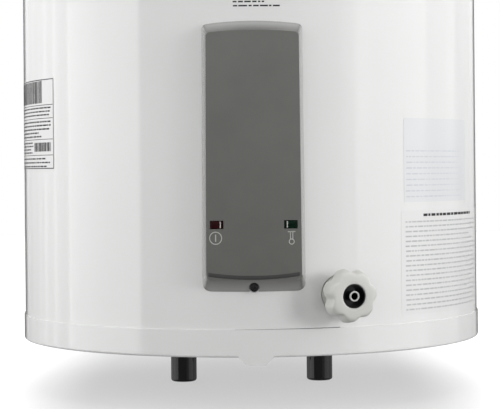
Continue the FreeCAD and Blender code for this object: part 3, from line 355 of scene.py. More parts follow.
def floor_finish():
    """Pale floor with a glow that only looking rays see, held low near the heater as a painted
    shadow.
    """
    material, tree, shader, place = start_finish("floor")
    length = add_node(tree, "ShaderNodeVectorMath", {
        0: stretched(tree, place, (1, painted_floor_shadow_squash, 1)),
    }, operation="LENGTH")
    grow = carried(
        tree, length.outputs["Value"], painted_floor_shadow_reach, floor_glow,
        interpolation_type="SMOOTHSTEP",
    )
    path = add_node(tree, "ShaderNodeLightPath", {})
    fill(tree, shader, {
        "Base Color": floor_grey, "Roughness": 0.9, "Specular IOR Level": 0.1,
        "Emission Color": WHITE,
        "Emission Strength": calculate(tree, "MULTIPLY", looking_rays(tree, path), grow),
    })
    side = add_node(tree, "ShaderNodeNewGeometry", {})
    clear = add_node(tree, "ShaderNodeBsdfTransparent", {})
    open_below = add_node(tree, "ShaderNodeMixShader", {
        0: side.outputs["Backfacing"], 1: shader.outputs["BSDF"], 2: clear.outputs["BSDF"],
    })
    fill(tree, tree.nodes["Material Output"], {"Surface": open_below.outputs["Shader"]})
    return material


floor_mesh = bpy.data.meshes.new("floor")
floor_bm = bmesh.new()
bmesh.ops.create_circle(floor_bm, cap_ends=True, segments=floor_segments, radius=floor_radius)
floor_bm.to_mesh(floor_mesh)
floor_bm.free()
floor_mesh.materials.append(floor_finish())
floor = bpy.data.objects.new("floor", floor_mesh)
floor.location = (0, axis_y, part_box("cold_inlet_socket")[0].z - floor_gap)
bpy.context.scene.collection.objects.link(floor)
floor.visible_glossy = False
print("floor at z", round(floor.location.z, 4))

# %% [markdown]
# Every finish is built from the same few nodes: a noise in Object coordinates that varies the
# colour, the same or a finer noise that varies the gloss, and a third that drives a bump. Short
# helpers keep each finish down to the numbers that make it different. Object coordinates are
# metres here, so a noise scale of 1000 gives grains of about a millimetre. A noise seldom leaves
# the middle of its range, so the helpers spread that middle over the two looks.

# %% Helpers for finishes
noise_range = (0.3, 0.7)


def noise(tree, place, scale, detail=3.0, roughness=0.5):
    """Cloudy pattern between 0 and 1."""
    return add_node(tree, "ShaderNodeTexNoise", {
        "Vector": place, "Scale": scale, "Detail": detail, "Roughness": roughness,
    }).outputs["Fac"]


def tint(tree, shader, pattern, dark, light, ends=noise_range):
    """Base colour that runs from dark to light with a pattern."""
    ramp = add_node(tree, "ShaderNodeValToRGB", {"Fac": pattern})
    stops = ramp.color_ramp.elements
    stops[0].position, stops[0].color = ends[0], (*dark, 1)
    stops[1].position, stops[1].color = ends[1], (*light, 1)
    fill(tree, shader, {"Base Color": ramp.outputs["Color"]})


def gloss(tree, shader, pattern, smooth, rough):
    """Roughness that runs between two values with a pattern."""
    fill(tree, shader, {"Roughness": carried(tree, pattern, noise_range, (smooth, rough))})


def bumped(tree, shader, pattern, depth):
    """Bump of a pattern, its depth in metres."""
    bump = add_node(tree, "ShaderNodeBump", {
        "Height": pattern, "Strength": 1.0, "Distance": depth,
    })
    fill(tree, shader, {"Normal": bump.outputs["Normal"]})


def mirroring(material, level):
    """Set how strongly a finish mirrors, 0.5 being the usual."""
    shader = material.node_tree.nodes["Principled BSDF"]
    shader.inputs["Specular IOR Level"].default_value = level


finishes = {}
print("finish helpers ready")

# %% [markdown]
# The jacket, the pan and the cap carry a sprayed and baked white enamel. It is very smooth, so
# most of its look is a clean mirror over a white ground. Up close it has a faint orange peel, and
# its white drifts by a percent or two. The wall brackets have a flatter, powdery white, and the
# tank inside has a dark blue glass coat. Each row gives the darkest and the lightest colour, the
# smoothest and the roughest gloss, and the depth and scale of the peel.

# %% Painted finishes
paint_drift_scale = 6.0
paint_gloss_scale = 60.0


def enamel(name, dark, light, smooth, rough, peel, peel_scale):
    """Paint with a slight drift in colour and gloss, and an orange peel."""
    material, tree, shader, place = start_finish(name)
    tint(tree, shader, noise(tree, place, paint_drift_scale, 2.0), dark, light)
    gloss(tree, shader, noise(tree, place, paint_gloss_scale), smooth, rough)
    bumped(tree, shader, noise(tree, place, peel_scale, 1.0), peel)
    return material


enamel_looks = {
    "white_enamel": ((0.80, 0.805, 0.795), (0.83, 0.83, 0.825), 0.08, 0.13, 2e-6, 260.0),
    "bracket_paint": ((0.70, 0.70, 0.69), (0.76, 0.76, 0.75), 0.38, 0.5, 2e-5, 1400.0),
    "tank_enamel": ((0.012, 0.025, 0.06), (0.03, 0.05, 0.10), 0.25, 0.45, 6e-5, 180.0),
}
for name, look in enamel_looks.items():
    finishes[name] = enamel(name, *look)
print("painted finishes", len(enamel_looks))

# %% [markdown]
# Moulded plastics differ in grain and gloss. The hand wheel is a creamy white with soft flow
# marks, and the sockets below the pan wear black plastic sleeves, glossy but weak as mirrors. The
# rows are those of the paints, with a mould grain in place of the peel.

# %% Moulded finishes
mould_drift_scale = 25.0
mould_gloss_scale = 100.0


def moulded(name, dark, light, smooth, rough, grain, grain_scale):
    """Plastic with a slow drift in colour and a fine mould grain."""
    material, tree, shader, place = start_finish(name)
    tint(tree, shader, noise(tree, place, mould_drift_scale, 4.0), dark, light)
    gloss(tree, shader, noise(tree, place, mould_gloss_scale), smooth, rough)
    bumped(tree, shader, noise(tree, place, grain_scale, 2.0), grain)
    return material


moulded_looks = {
    "grey_plastic": ((0.071, 0.072, 0.063), (0.084, 0.085, 0.075), 0.20, 0.27, 6e-6, 2600.0),
    "white_plastic": ((0.59, 0.59, 0.56), (0.67, 0.67, 0.64), 0.28, 0.38, 1.5e-5, 700.0),
    "black_plastic": ((0.005, 0.005, 0.006), (0.010, 0.010, 0.011), 0.06, 0.12, 2e-6, 500.0),
    "black_rubber": ((0.012, 0.012, 0.012), (0.028, 0.027, 0.026), 0.65, 0.85, 4e-5, 900.0),
    "phenolic": ((0.020, 0.017, 0.015), (0.050, 0.042, 0.036), 0.40, 0.55, 3e-5, 1500.0),
    "red_plastic": ((0.42, 0.02, 0.015), (0.55, 0.04, 0.03), 0.25, 0.35, 1e-5, 900.0),
    "natural_nylon": ((0.70, 0.68, 0.60), (0.80, 0.78, 0.71), 0.35, 0.50, 2e-5, 800.0),
    "lead_insulation": ((0.30, 0.075, 0.03), (0.42, 0.11, 0.045), 0.35, 0.5, 1e-5, 900.0),
}
for name, look in moulded_looks.items():
    finishes[name] = moulded(name, *look)
mirroring(finishes["black_plastic"], 0.2)
print("moulded finishes", len(moulded_looks))

# %% [markdown]
# The cover is satin with a thin gloss on top. Its side walls are polished and look far paler than
# its face, most of all at their foot, where they mirror the softboxes at a flat angle. That sheen
# is painted into the colour. A painted band or a second piece would make a hard edge, so the colour
# follows the shape instead: it turns pale where the surface faces sideways, up or down, and the
# more so the nearer it is to the jacket.

# %% Painted sheen on the walls of the cover
# The pale wall colour is a painted sheen that stands in for the softboxes mirrored in the walls.
wall_sheen_colour = (0.34, 0.34, 0.33, 1)
wall_sheen_facing = (0.45, 0.9)
wall_sheen_reach = (cover_face_radius - 0.5 * MM, jacket_radius + 2.5 * MM)
wall_sheen_share = (0.2, 1.2)
MIX_A, MIX_B, MIX_RESULT = 6, 7, 2


def painted_wall_sheen(material):
    """Paint a sheen onto the walls of the cover, most of all at their foot."""
    tree = material.node_tree
    shader = tree.nodes["Principled BSDF"]
    ground = shader.inputs["Base Color"].links[0].from_socket
    place = add_node(tree, "ShaderNodeTexCoord", {})
    normal = place.outputs["Normal"]
    size = add_node(tree, "ShaderNodeVectorMath", {0: normal}, operation="ABSOLUTE")
    part = add_node(tree, "ShaderNodeSeparateXYZ", {0: size.outputs["Vector"]})
    facing = calculate(tree, "MAXIMUM", part.outputs["X"], part.outputs["Z"])
    share = carried(tree, facing, wall_sheen_facing, (0, 1), interpolation_type="SMOOTHSTEP")
    flat = add_node(tree, "ShaderNodeVectorMath", {
        0: place.outputs["Object"], 1: (1, 1, 0), 2: (0, -axis_y, 0),
    }, operation="MULTIPLY_ADD")
    reach = add_node(tree, "ShaderNodeVectorMath", {0: flat.outputs["Vector"]}, operation="LENGTH")
    behind = carried(tree, reach.outputs["Value"], wall_sheen_reach, wall_sheen_share)
    mix = add_node(tree, "ShaderNodeMix", {
        0: calculate(tree, "MULTIPLY", share, behind), MIX_A: ground, MIX_B: wall_sheen_colour,
    }, data_type="RGBA")
    fill(tree, shader, {
        "Base Color": mix.outputs[MIX_RESULT], "Coat Weight": 1.0, "Coat Roughness": 0.12,
    })


painted_wall_sheen(finishes["grey_plastic"])
print("walls pale over", round(wall_sheen_reach[0] - wall_sheen_reach[1], 4), "m")

# %% [markdown]
# Metals are darker and busier than they seem: the metal colour, a drift in gloss, and fine marks
# that run one way. Zinc plate has a crystal spangle, so it takes a Voronoi cell pattern instead.
# Brass and the steel screws were turned on a lathe, so their marks are stretched noise. A row
# ends with the depth and scale of the marks and, where they run one way, their stretch.

# %% Metal finishes
metal_drift_scale = 40.0
spangle_scale = 140.0


def metal(name, dark, light, smooth, rough, marks, mark_scale, stretch=(1, 1, 1)):
    """Metal with marks stretched along one direction."""
    material, tree, shader, place = start_finish(name)
    shader.inputs["Metallic"].default_value = 1.0
    lines = noise(tree, stretched(tree, place, stretch), mark_scale, 4.0, 0.6)
    tint(tree, shader, noise(tree, place, metal_drift_scale, 4.0), dark, light)
    gloss(tree, shader, lines, smooth, rough)
    bumped(tree, shader, lines, marks)
    return material


def spangled(name, dark, light):
    """Galvanised sheet: crystals of slightly different grey."""
    material, tree, shader, place = start_finish(name)
    shader.inputs["Metallic"].default_value = 1.0
    cells = add_node(tree, "ShaderNodeTexVoronoi", {"Vector": place, "Scale": spangle_scale})
    grey = add_node(tree, "ShaderNodeSeparateColor", {"Color": cells.outputs["Color"]})
    tint(tree, shader, grey.outputs["Red"], dark, light, (0.1, 0.9))
    gloss(tree, shader, grey.outputs["Green"], 0.35, 0.55)
    bumped(tree, shader, noise(tree, place, 900.0), 8e-6)
    return material


metal_looks = {
    "brass": ((0.55, 0.36, 0.12), (0.72, 0.50, 0.20), 0.22, 0.40, 1.2e-5, 900.0, (1, 1, 4)),
    "steel": ((0.50, 0.50, 0.51), (0.64, 0.64, 0.63), 0.22, 0.42, 1.0e-5, 900.0, (1, 1, 3)),
    "copper_sheath": ((0.55, 0.22, 0.12), (0.74, 0.36, 0.22), 0.25, 0.45, 1e-5, 700.0, (1, 6, 1)),
    "magnesium": ((0.50, 0.50, 0.51), (0.62, 0.62, 0.63), 0.45, 0.65, 6e-5, 500.0),
    "blackened": ((0.008, 0.008, 0.009), (0.035, 0.035, 0.036), 0.16, 0.35, 1.5e-5, 1100.0),
}
for name, look in metal_looks.items():
    finishes[name] = metal(name, *look)
finishes["galvanised"] = spangled("galvanised", (0.42, 0.43, 0.44), (0.60, 0.61, 0.62))
print("metal finishes", 1 + len(metal_looks))

# %% [markdown]
# Three finishes need their own small recipe: the cut foam with its open cells, the lamp lenses,
# which are deep coloured and very glossy, and the earth lead, whose green sleeve has a yellow
# stripe.

# %% Foam, lenses and the earth lead
foam_cell_scale = 420.0
lens_drift_scale = 300.0
stripe_scale = 160.0


def foam_finish():
    """Cream foam with open cells."""
    material, tree, shader, place = start_finish("foam")
    cells = add_node(tree, "ShaderNodeTexVoronoi", {"Vector": place, "Scale": foam_cell_scale})
    depth = cells.outputs["Distance"]
    tint(tree, shader, depth, (0.50, 0.42, 0.22), (0.72, 0.63, 0.38), (0.1, 0.6))
    bumped(tree, shader, depth, 3e-4)
    shader.inputs["Roughness"].default_value = 0.9
    return material


def lens_finish(name, dark, light):
    """Clear coloured plastic over a dark bulb."""
    material, tree, shader, place = start_finish(name)
    tint(tree, shader, noise(tree, place, lens_drift_scale, 2.0), dark, light)
    gloss(tree, shader, noise(tree, place, 500.0), 0.10, 0.18)
    bumped(tree, shader, noise(tree, stretched(tree, place, (6, 6, 1)), 260.0, 1.0), 1e-5)
    mirroring(material, 0.06)
    return material


def striped_lead():
    """Green sleeve with a yellow stripe."""
    material, tree, shader, place = start_finish("earth_insulation")
    bands = add_node(tree, "ShaderNodeTexWave", {
        "Vector": place, "Scale": stripe_scale,
    }, bands_direction="DIAGONAL")
    tint(tree, shader, bands.outputs["Fac"], (0.02, 0.22, 0.03), (0.62, 0.50, 0.03), (0.62, 0.66))
    shader.inputs["Roughness"].default_value = 0.4
    return material


finishes["foam"] = foam_finish()
finishes["red_lens"] = lens_finish("red_lens", (0.014, 0.002, 0.003), (0.034, 0.003, 0.004))
finishes["green_lens"] = lens_finish("green_lens", (0.001, 0.008, 0.004), (0.002, 0.016, 0.007))
finishes["earth_insulation"] = striped_lead()
print("finishes in all", len(finishes))

# %% [markdown]
# The record gives every CAD node a material slot by name. Putting the finish of that name into
# the slot dresses all of them in one loop, and only the screw of the cover is blackened after.
# Pieces that are modelled anew in the next steps take the finish of the node that they stand for.

# %% Dress the CAD nodes
slot_of = {}
for name, node in nodes.items():
    slot_of[name] = node.data.materials[0].name
    node.data.materials[0] = finishes[slot_of[name]]
nodes["cover_screw"].data.materials[0] = finishes["blackened"]
print("dressed", len(slot_of), "nodes in", len(set(slot_of.values())), "finishes")

# %% [markdown]
# Four helpers serve the new pieces. One finishes a bmesh into an object that rides on a body. One
# gives the matrix that turns a piece drawn about the Z axis so that it looks out of the jacket, as
# the valve does. One wraps a flat drawing round the jacket: x becomes the way round, y the height,
# and z the distance off the surface. The last turns a section about Z.

# %% Helpers for pieces
def finish_piece(name, bm, body, finish, sharp, closed=True):
    """Object from a bmesh, shaded smooth but for edges sharper than an angle in degrees."""
    if closed:
        bmesh.ops.remove_doubles(bm, verts=bm.verts, dist=1e-6)
        bmesh.ops.recalc_face_normals(bm, faces=bm.faces)
    mesh = bpy.data.meshes.new(name)
    bm.to_mesh(mesh)
    bm.free()
    mesh.shade_smooth()
    mesh.set_sharp_from_angle(angle=radians(sharp))
    mesh.materials.append(finish)
    piece = bpy.data.objects.new(name, mesh)
    bpy.context.scene.collection.objects.link(piece)
    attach(piece, body)
    return piece


def out_of_jacket(height, azimuth):
    """Matrix that makes Z the reach from the tank axis, at a height above the rim."""
    return (
        Matrix.Translation((0, axis_y, rim_z + height)) @ Matrix.Rotation(radians(azimuth), 4, "Z")
        @ Matrix.Rotation(radians(90), 4, "X")
    )


def wrap(bm, radius, azimuth, height):
    """Bend a flat drawing round the tank axis, its origin at an azimuth and a height."""
    for vert in bm.verts:
        across, up, off = vert.co
        vert.co = around_axis(radius + off, radians(azimuth) + across / radius, rim_z + height + up)


def spun(profile, steps):
    """Solid turned about Z from (radius, height) points given in order round the section."""
    bm = bmesh.new()
    verts = [bm.verts.new((radius, 0, height)) for radius, height in profile]
    edges = [bm.edges.new((a, b)) for a, b in zip(verts, verts[1:] + verts[:1])]
    bmesh.ops.spin(
        bm, geom=verts + edges, cent=(0, 0, 0), axis=(0, 0, 1), angle=2 * pi, steps=steps,
        use_merge=True, use_duplicate=False,
    )
    return bm


print("piece helpers ready")

# %% [markdown]
# Real edges are never knife sharp: sheet is bent, plastic is moulded with a small radius, and
# the radius is what catches the light. Many CAD nodes already have the right shape, so each is
# copied, its loose triangles are merged into whole faces, and its sharp edges are bevelled. The
# copy then stands for the node. The table gives the radius of each in millimetres.

# %% Rounded copies of the CAD nodes
flat_angle = radians(0.5)
edge_angle = radians(25.0)
most_corners = 4


def rounded_copy(node_name, radius):
    """Copy of a CAD node with its sharp edges rounded."""
    node = nodes[node_name]
    bm = bmesh.new()
    bm.from_mesh(node.data)
    bmesh.ops.remove_doubles(bm, verts=bm.verts, dist=2e-6)
    bmesh.ops.dissolve_limit(
        bm, angle_limit=flat_angle, verts=bm.verts, edges=bm.edges, use_dissolve_boundaries=False
    )
    edges = [
        edge for edge in bm.edges
        if len(edge.link_faces) == 2 and edge.calc_face_angle(0.0) > edge_angle
    ]
    bmesh.ops.bevel(
        bm, geom=edges, offset=radius, offset_type="OFFSET", segments=3, profile=0.5,
        affect="EDGES", clamp_overlap=True, material=-1,
    )
    large = [face for face in bm.faces if len(face.verts) > most_corners]
    bmesh.ops.triangulate(bm, faces=large)
    finish = finishes[slot_of[node_name]]
    piece = finish_piece(node_name + "_rounded", bm, node["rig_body"], finish, sharp=40)
    weights = piece.modifiers.new("weights", "WEIGHTED_NORMAL")
    weights.keep_sharp = True
    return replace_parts(piece, node_name)


edge_radii = {
    "access_cover": 0.8, "lower_wall_bracket": 0.4, "upper_wall_bracket": 0.4,
    "bracket_nuts": 0.5, "cable_gland": 0.4, "drain_escutcheon": 0.35, "drain_valve_body": 0.3,
    "thermostat_body": 0.6, "terminal_block": 0.4, "element_head": 0.4, "lamp_carrier": 0.3,
    "thermostat_dial": 0.3, "reset_button": 0.4, "anode_access_cap": 0.3, "pipe_grommets": 0.4,
}
for name, radius in edge_radii.items():
    copy = rounded_copy(name, radius * MM)
    print(copy.name, "faces", len(copy.data.polygons))

# %% [markdown]
# The drain valve is worked by a moulded hand wheel: seven broad lobes with narrower flutes between
# them, which melt into a rounded shoulder, and a deep round recess in its front. A stack of
# circles is the simplest start. Each circle is pushed in where the flutes run, the circles are
# bridged, and a subdivision surface rounds the whole. A row of the table gives a circle's radius,
# its depth behind the front and the depth of its flutes, in millimetres.

# %% Hand wheel
drain_azimuth = 19.6
drain_height = 54.4 * MM
hub_reach = 260 * MM
wheel_lobes = 7
wheel_first_lobe = radians(7.0)
wheel_points = 12 * wheel_lobes
wheel_sections = [
    (4.6, 11.0, 0.0), (10.4, 11.0, 0.0), (10.6, 10.7, 0.0), (10.6, 0.9, 0.0), (10.8, 0.35, 0.0),
    (11.4, 0.0, 0.0), (15.0, 0.0, 0.0), (18.2, 0.1, 0.5), (20.2, 0.5, 1.6), (21.8, 1.6, 2.7),
    (22.7, 3.4, 3.2), (23.3, 7.0, 3.4), (23.9, 10.5, 3.4), (24.4, 13.2, 3.4), (24.3, 14.2, 3.4),
    (23.7, 14.9, 3.2), (22.9, 15.0, 3.0), (12.0, 15.0, 0.3), (4.9, 15.0, 0.0), (4.6, 14.8, 0.0),
]


def place_ring(verts, radius, depth, flute):
    """Put a ring at a radius and a depth behind the front, pushed in along the flutes."""
    for vert in verts:
        around = atan2(vert.co.y, vert.co.x)
        push = flute * ((1 - cos(wheel_lobes * (around - wheel_first_lobe))) / 2) ** 2.0
        reach = (radius - push) * MM
        vert.co = (reach * cos(around), reach * sin(around), hub_reach - depth * MM)


def hand_wheel():
    """Closed fluted wheel with its recess and bore."""
    bm = bmesh.new()
    made = bmesh.ops.create_circle(bm, segments=wheel_points, radius=MM)
    ring = list({edge for vert in made["verts"] for edge in vert.link_edges})
    place_ring(made["verts"], *wheel_sections[0])
    first_ring = ring
    for section in wheel_sections[1:]:
        grown = bmesh.ops.extrude_edge_only(bm, edges=ring)["geom"]
        place_ring([item for item in grown if isinstance(item, bmesh.types.BMVert)], *section)
        ring = [item for item in grown if isinstance(item, bmesh.types.BMEdge) and item.is_boundary]
    bmesh.ops.bridge_loops(bm, edges=ring + first_ring)
    bmesh.ops.transform(bm, matrix=out_of_jacket(drain_height, drain_azimuth), verts=bm.verts)
    piece = finish_piece("hand_wheel", bm, "drain_wheel", finishes["white_plastic"], sharp=180)
    rounding = piece.modifiers.new("rounding", "SUBSURF")
    rounding.levels = rounding.render_levels = 1
    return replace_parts(piece, "drain_wheel")


wheel = hand_wheel()
print("wheel faces", len(wheel.data.polygons))

# %% [markdown]
# The nozzle in the wheel's recess is a tube with a pale lip, which shows as a light ring in the
# black. It is a small lip turned about the nozzle's axis that sits on the end of the tube.

# %% Nozzle lip
# Pale finish shared by the nozzle lip and the painted highlight on the lamp ribs.
worn_lip = moulded(
    "worn_lip", (0.42, 0.42, 0.41), (0.62, 0.62, 0.60), 0.25, 0.4, 1e-5, 900.0
)
lip_steps = 64
lip_outer, lip_inner = 4.52 * MM, 3.2 * MM
lip_back = hub_reach - 0.8 * MM
lip_edge = hub_reach + 0.05 * MM
lip_front = hub_reach + 0.25 * MM
lip_bevel_outside, lip_bevel_inside = 0.35 * MM, 0.3 * MM


def nozzle_lip():
    """Thin rounded ring on the end of the nozzle."""
    bm = spun([
        (lip_inner, lip_back), (lip_outer, lip_back), (lip_outer, lip_edge),
        (lip_outer - lip_bevel_outside, lip_front), (lip_inner + lip_bevel_inside, lip_front),
        (lip_inner, lip_edge),
    ], lip_steps)
    bmesh.ops.transform(bm, matrix=out_of_jacket(drain_height, drain_azimuth), verts=bm.verts)
    piece = finish_piece("nozzle_lip", bm, "drain_spindle", worn_lip, sharp=60)
    return piece


print("lip faces", len(nozzle_lip().data.polygons))

# %% [markdown]
# The two neon lamps look out of small windows in the cover. Unlit, their lenses are nearly black,
# one reddish and one greenish, and a moulded rib near the inner edge has a pale finish as a painted
# highlight, a thin bright line where the softboxes would glint. A cube scaled to the lamp's own box
# and bevelled makes the lens, and a second, whose upright edges are fully rounded, makes the rib.

# %% Neon lamps
lens_front_gap = 0.35 * MM
lens_corner = 0.9 * MM
rib_width = 1.1 * MM
rib_corner = 0.45 * rib_width
rib_inset = 2.4 * MM
rib_proud = 0.3 * MM
rib_sunk = 1.0 * MM
rib_end_gap = 0.5 * MM
UPRIGHT = (2,)


def rounded_block(bm, low, high, radius, segments, axes=(0, 1, 2)):
    """Box between two corners with its edges along some axes rounded."""
    size = [b - a for a, b in zip(low, high)]
    middle = [(a + b) / 2 for a, b in zip(low, high)]
    made = bmesh.ops.create_cube(
        bm, size=1.0, matrix=Matrix.Translation(middle) @ Matrix.Diagonal((*size, 1))
    )
    edges = []
    for edge in {edge for vert in made["verts"] for edge in vert.link_edges}:
        run = edge.verts[0].co - edge.verts[1].co
        along = max(range(3), key=lambda axis: abs(run[axis]))
        if along in axes:
            edges.append(edge)
    bmesh.ops.bevel(
        bm, geom=edges, offset=radius, offset_type="OFFSET", segments=segments, profile=0.5,
        affect="EDGES", clamp_overlap=True, material=-1,
    )


def lamp_lens(name, node_name, finish_name, inner_side):
    """Lens that fills a lamp's box, with a round rib near its inner edge, pale as a painted
    highlight.
    """
    low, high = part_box(node_name)
    across = (low.x + high.x) / 2
    front = axis_y - sqrt(cover_face_radius ** 2 - across ** 2) + lens_front_gap
    bm = bmesh.new()
    rounded_block(bm, (low.x, front, low.z), (high.x, high.y, high.z), lens_corner, 4)
    edge = high.x if inner_side > 0 else low.x
    rib = edge - inner_side * rib_inset
    rib_low = (rib - rib_width / 2, front - rib_proud, low.z + rib_end_gap)
    rib_high = (rib + rib_width / 2, front + rib_sunk, high.z - rib_end_gap)
    rib_bm = bmesh.new()
    rounded_block(rib_bm, rib_low, rib_high, rib_corner, 5, UPRIGHT)
    # The rib's pale finish is a painted highlight.
    finish_piece(name + "_rib", rib_bm, "heater", worn_lip, 50)
    piece = finish_piece(name, bm, "heater", finishes[finish_name], 50)
    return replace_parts(piece, node_name)


for lens in (
    lamp_lens("power_lens", "power_lamp", "red_lens", 1),
    lamp_lens("heating_lens", "heating_lamp", "green_lens", -1),
):
    print(lens.name, "faces", len(lens.data.polygons))

# %% [markdown]
# Prints are thin: each is drawn flat from bars and rings, wrapped round the tank axis, and set a
# hair above what carries it. Two signs are printed under the lamps in pale grey: a ring with an
# upright bar for the mains, and a thermometer for heating. A sign's row gives the radius, stroke
# and height of its ring, then its bars as left, right, low and high, then its azimuth and level.

# %% Signs on the cover
print_lift = 0.05 * MM
bar_column = 6 * MM
ring_segments = 40


def add_bar(bm, left, right, low, high):
    """Flat bar, split along its length so that it can bend."""
    columns = max(1, ceil((right - left) / bar_column))
    place = Matrix.Translation(((left + right) / 2, (low + high) / 2, 0))
    bmesh.ops.create_grid(
        bm, x_segments=columns, y_segments=1, size=0.5,
        matrix=place @ Matrix.Diagonal((right - left, high - low, 1, 1)),
    )


def add_ring(bm, radius, stroke, up):
    """Flat ring with its stroke inside the radius."""
    made = bmesh.ops.create_circle(
        bm, cap_ends=True, segments=ring_segments, radius=radius,
        matrix=Matrix.Translation((0, up, 0)),
    )
    face = made["verts"][0].link_faces[0]
    bmesh.ops.inset_region(
        bm, faces=[face], thickness=stroke, use_even_offset=True, use_boundary=True
    )
    bmesh.ops.delete(bm, geom=[face], context="FACES")


def printed(name, bm, radius, azimuth, height, body, finish):
    """Wrap a flat drawing round the tank axis and finish it as a print."""
    wrap(bm, radius + print_lift, azimuth, height)
    return finish_piece(name, bm, body, finish, sharp=180, closed=False)


print_grey = moulded("print_grey", (0.40, 0.40, 0.38), (0.46, 0.46, 0.44), 0.4, 0.5, 2e-6, 900.0)
mains_bar = ((-0.5, 0.5, -3.2, 3.2),)
thermometer = ((-1.4, -0.7, -0.9, 5.2), (0.7, 1.4, -0.9, 5.2), (-3.4, 3.4, 5.2, 5.9))
signs = {
    "mains_sign": (5.7, 0.8, 0.0, mains_bar, -8.0, 105.9),
    "heat_sign": (2.6, 0.7, -3.2, thermometer, 7.9, 105.6),
}
for name, (radius, stroke, up, bars, azimuth, level) in signs.items():
    sign = bmesh.new()
    add_ring(sign, radius * MM, stroke * MM, up * MM)
    for bar in bars:
        add_bar(sign, *(side * MM for side in bar))
    printed(name, sign, cover_face_radius, azimuth, level * MM, "cover", print_grey)
print("signs", len(signs))

# %% [markdown]
# Thin dark strips that follow the curve paint shade onto the front. A black strip and a softer one
# above it are painted shade along the lower edge of the cover's face, where the face ends in a
# small step above the sloping foot, and both sag in the middle as the step does. The seam above the
# pan's skirt only shows dark in the shadow of the cover and the wheel, so its painted shade widens
# to one end. A grey strip of painted shade marks the crease of the folded rim all the way round but
# for the lip.

# %% Painted shade at the step, seam and rim
# Finishes of the painted shade strips: black, soft and grey.
painted_shade_looks = {
    "line_black": ((0.010, 0.010, 0.010), (0.016, 0.016, 0.015), 0.5, 0.6, 1e-6, 900.0),
    "line_shade": ((0.022, 0.022, 0.021), (0.03, 0.03, 0.029), 0.4, 0.5, 1e-6, 900.0),
    "line_grey": ((0.10, 0.10, 0.095), (0.13, 0.13, 0.125), 0.5, 0.6, 1e-6, 900.0),
}
for name, look in painted_shade_looks.items():
    finishes[name] = moulded(name, *look)
line_columns = 24
step_half = 40.4 * MM
step_sag = 2.9 * MM
painted_step_strips = (("step_line", 72.2, 1.6, "line_black"), ("step_shade", 73.8, 1.9, "line_shade"))
skirt_edge = 24.55 * MM
seam_left, seam_right = -17 * MM, 78 * MM
seam_narrow, seam_wide = 0.15 * MM, 0.6 * MM
crease_left = 18.5 * MM
crease_right = 2 * pi * jacket_radius - 16.5 * MM
crease_low, crease_high = 0.25 * MM, 0.65 * MM


def add_line(bm, left, right, level, width_left, width_right, sag):
    """Strip that narrows from one end to the other and sags in the middle."""
    made = bmesh.ops.create_grid(bm, x_segments=line_columns, y_segments=1, size=0.5)
    for vert in made["verts"]:
        share = vert.co.x + 0.5
        low = level - sag * (1 - (2 * share - 1) ** 2)
        width = width_left + (width_right - width_left) * share
        vert.co = (left + (right - left) * share, low + width * (vert.co.y + 0.5), 0)


# Painted shade along the step of the cover's face.
for name, level, width, finish_name in painted_step_strips:
    strip = bmesh.new()
    add_line(strip, -step_half, step_half, level * MM, width * MM, width * MM, step_sag)
    printed(name, strip, cover_face_radius, 0, 0, "cover", finishes[finish_name])
# Painted shade in the seam, widest in the shadow of the cover and the wheel.
seam_line = bmesh.new()
add_line(seam_line, seam_left, seam_right, skirt_edge, seam_narrow, seam_wide, 0.0)
printed("seam_line", seam_line, jacket_radius, 0, 0, "heater", finishes["line_grey"])
# Painted shade along the crease of the folded rim.
rim_crease = bmesh.new()
add_bar(rim_crease, crease_left, crease_right, crease_low, crease_high)
printed("rim_crease", rim_crease, jacket_radius, 0, 0, "heater", finishes["line_grey"])
print("crease", round(crease_right - crease_left, 3), "m long")

# %% [markdown]
# Three labels sit on the jacket: a framed plate on the left, a faint film on the right, and a
# sheet of fine rows under it. Each carries plain rows of dashes. A label is a thin film with
# rounded corners and the marks are flat bars, all drawn flat and wrapped round the jacket. A set
# of rows is given in millimetres by its left, right, top and bottom, the number of rows and their
# thickness.

# %% Label helpers
film_thickness = 0.12 * MM
film_corner = 2 * MM
shortest_dash = 2 * MM
dash_lengths = (2.0, 8.5)
dash_gaps = (0.9, 1.5)
ragged_ends = (0, 0, 0, 6, 14, 30)
chance = random.Random(11)
label_looks = {
    "label_white": ((0.79, 0.79, 0.785), (0.81, 0.81, 0.805), 0.18, 0.24, 1e-6, 300.0),
    "label_faint": ((0.755, 0.765, 0.78), (0.77, 0.78, 0.79), 0.14, 0.2, 1e-6, 300.0),
}
for name, look in label_looks.items():
    finishes[name] = enamel(name, *look)
ink_looks = {
    "ink_black": ((0.03, 0.03, 0.03), (0.05, 0.05, 0.05), 0.3, 0.4, 1e-6, 900.0),
    "ink_grey": ((0.42, 0.42, 0.43), (0.52, 0.52, 0.53), 0.3, 0.4, 1e-6, 900.0),
    "ink_pale": ((0.55, 0.57, 0.61), (0.62, 0.64, 0.67), 0.3, 0.4, 1e-6, 900.0),
}
for name, look in ink_looks.items():
    finishes[name] = moulded(name, *look)
mirroring(finishes["ink_black"], 0.05)


def label_film(name, width, height, azimuth, level, finish_name):
    """Thin film with rounded corners, its middle at an azimuth and a level above the rim."""
    bm = bmesh.new()
    add_bar(bm, -width / 2, width / 2, -height / 2, height / 2)
    corners = [vert for vert in bm.verts if len(vert.link_edges) == 2]
    bmesh.ops.bevel(
        bm, geom=corners, offset=film_corner, offset_type="OFFSET", segments=4, profile=0.5,
        affect="VERTICES", clamp_overlap=True, material=-1,
    )
    for vert in bm.verts:
        vert.co.z = film_thickness
    skirt = bmesh.ops.extrude_edge_only(bm, edges=[edge for edge in bm.edges if edge.is_boundary])
    for item in skirt["geom"]:
        if isinstance(item, bmesh.types.BMVert):
            item.co.z = 0.0
    wrap(bm, jacket_radius, azimuth, level)
    finish_piece(name, bm, "heater", finishes[finish_name], sharp=30, closed=False)


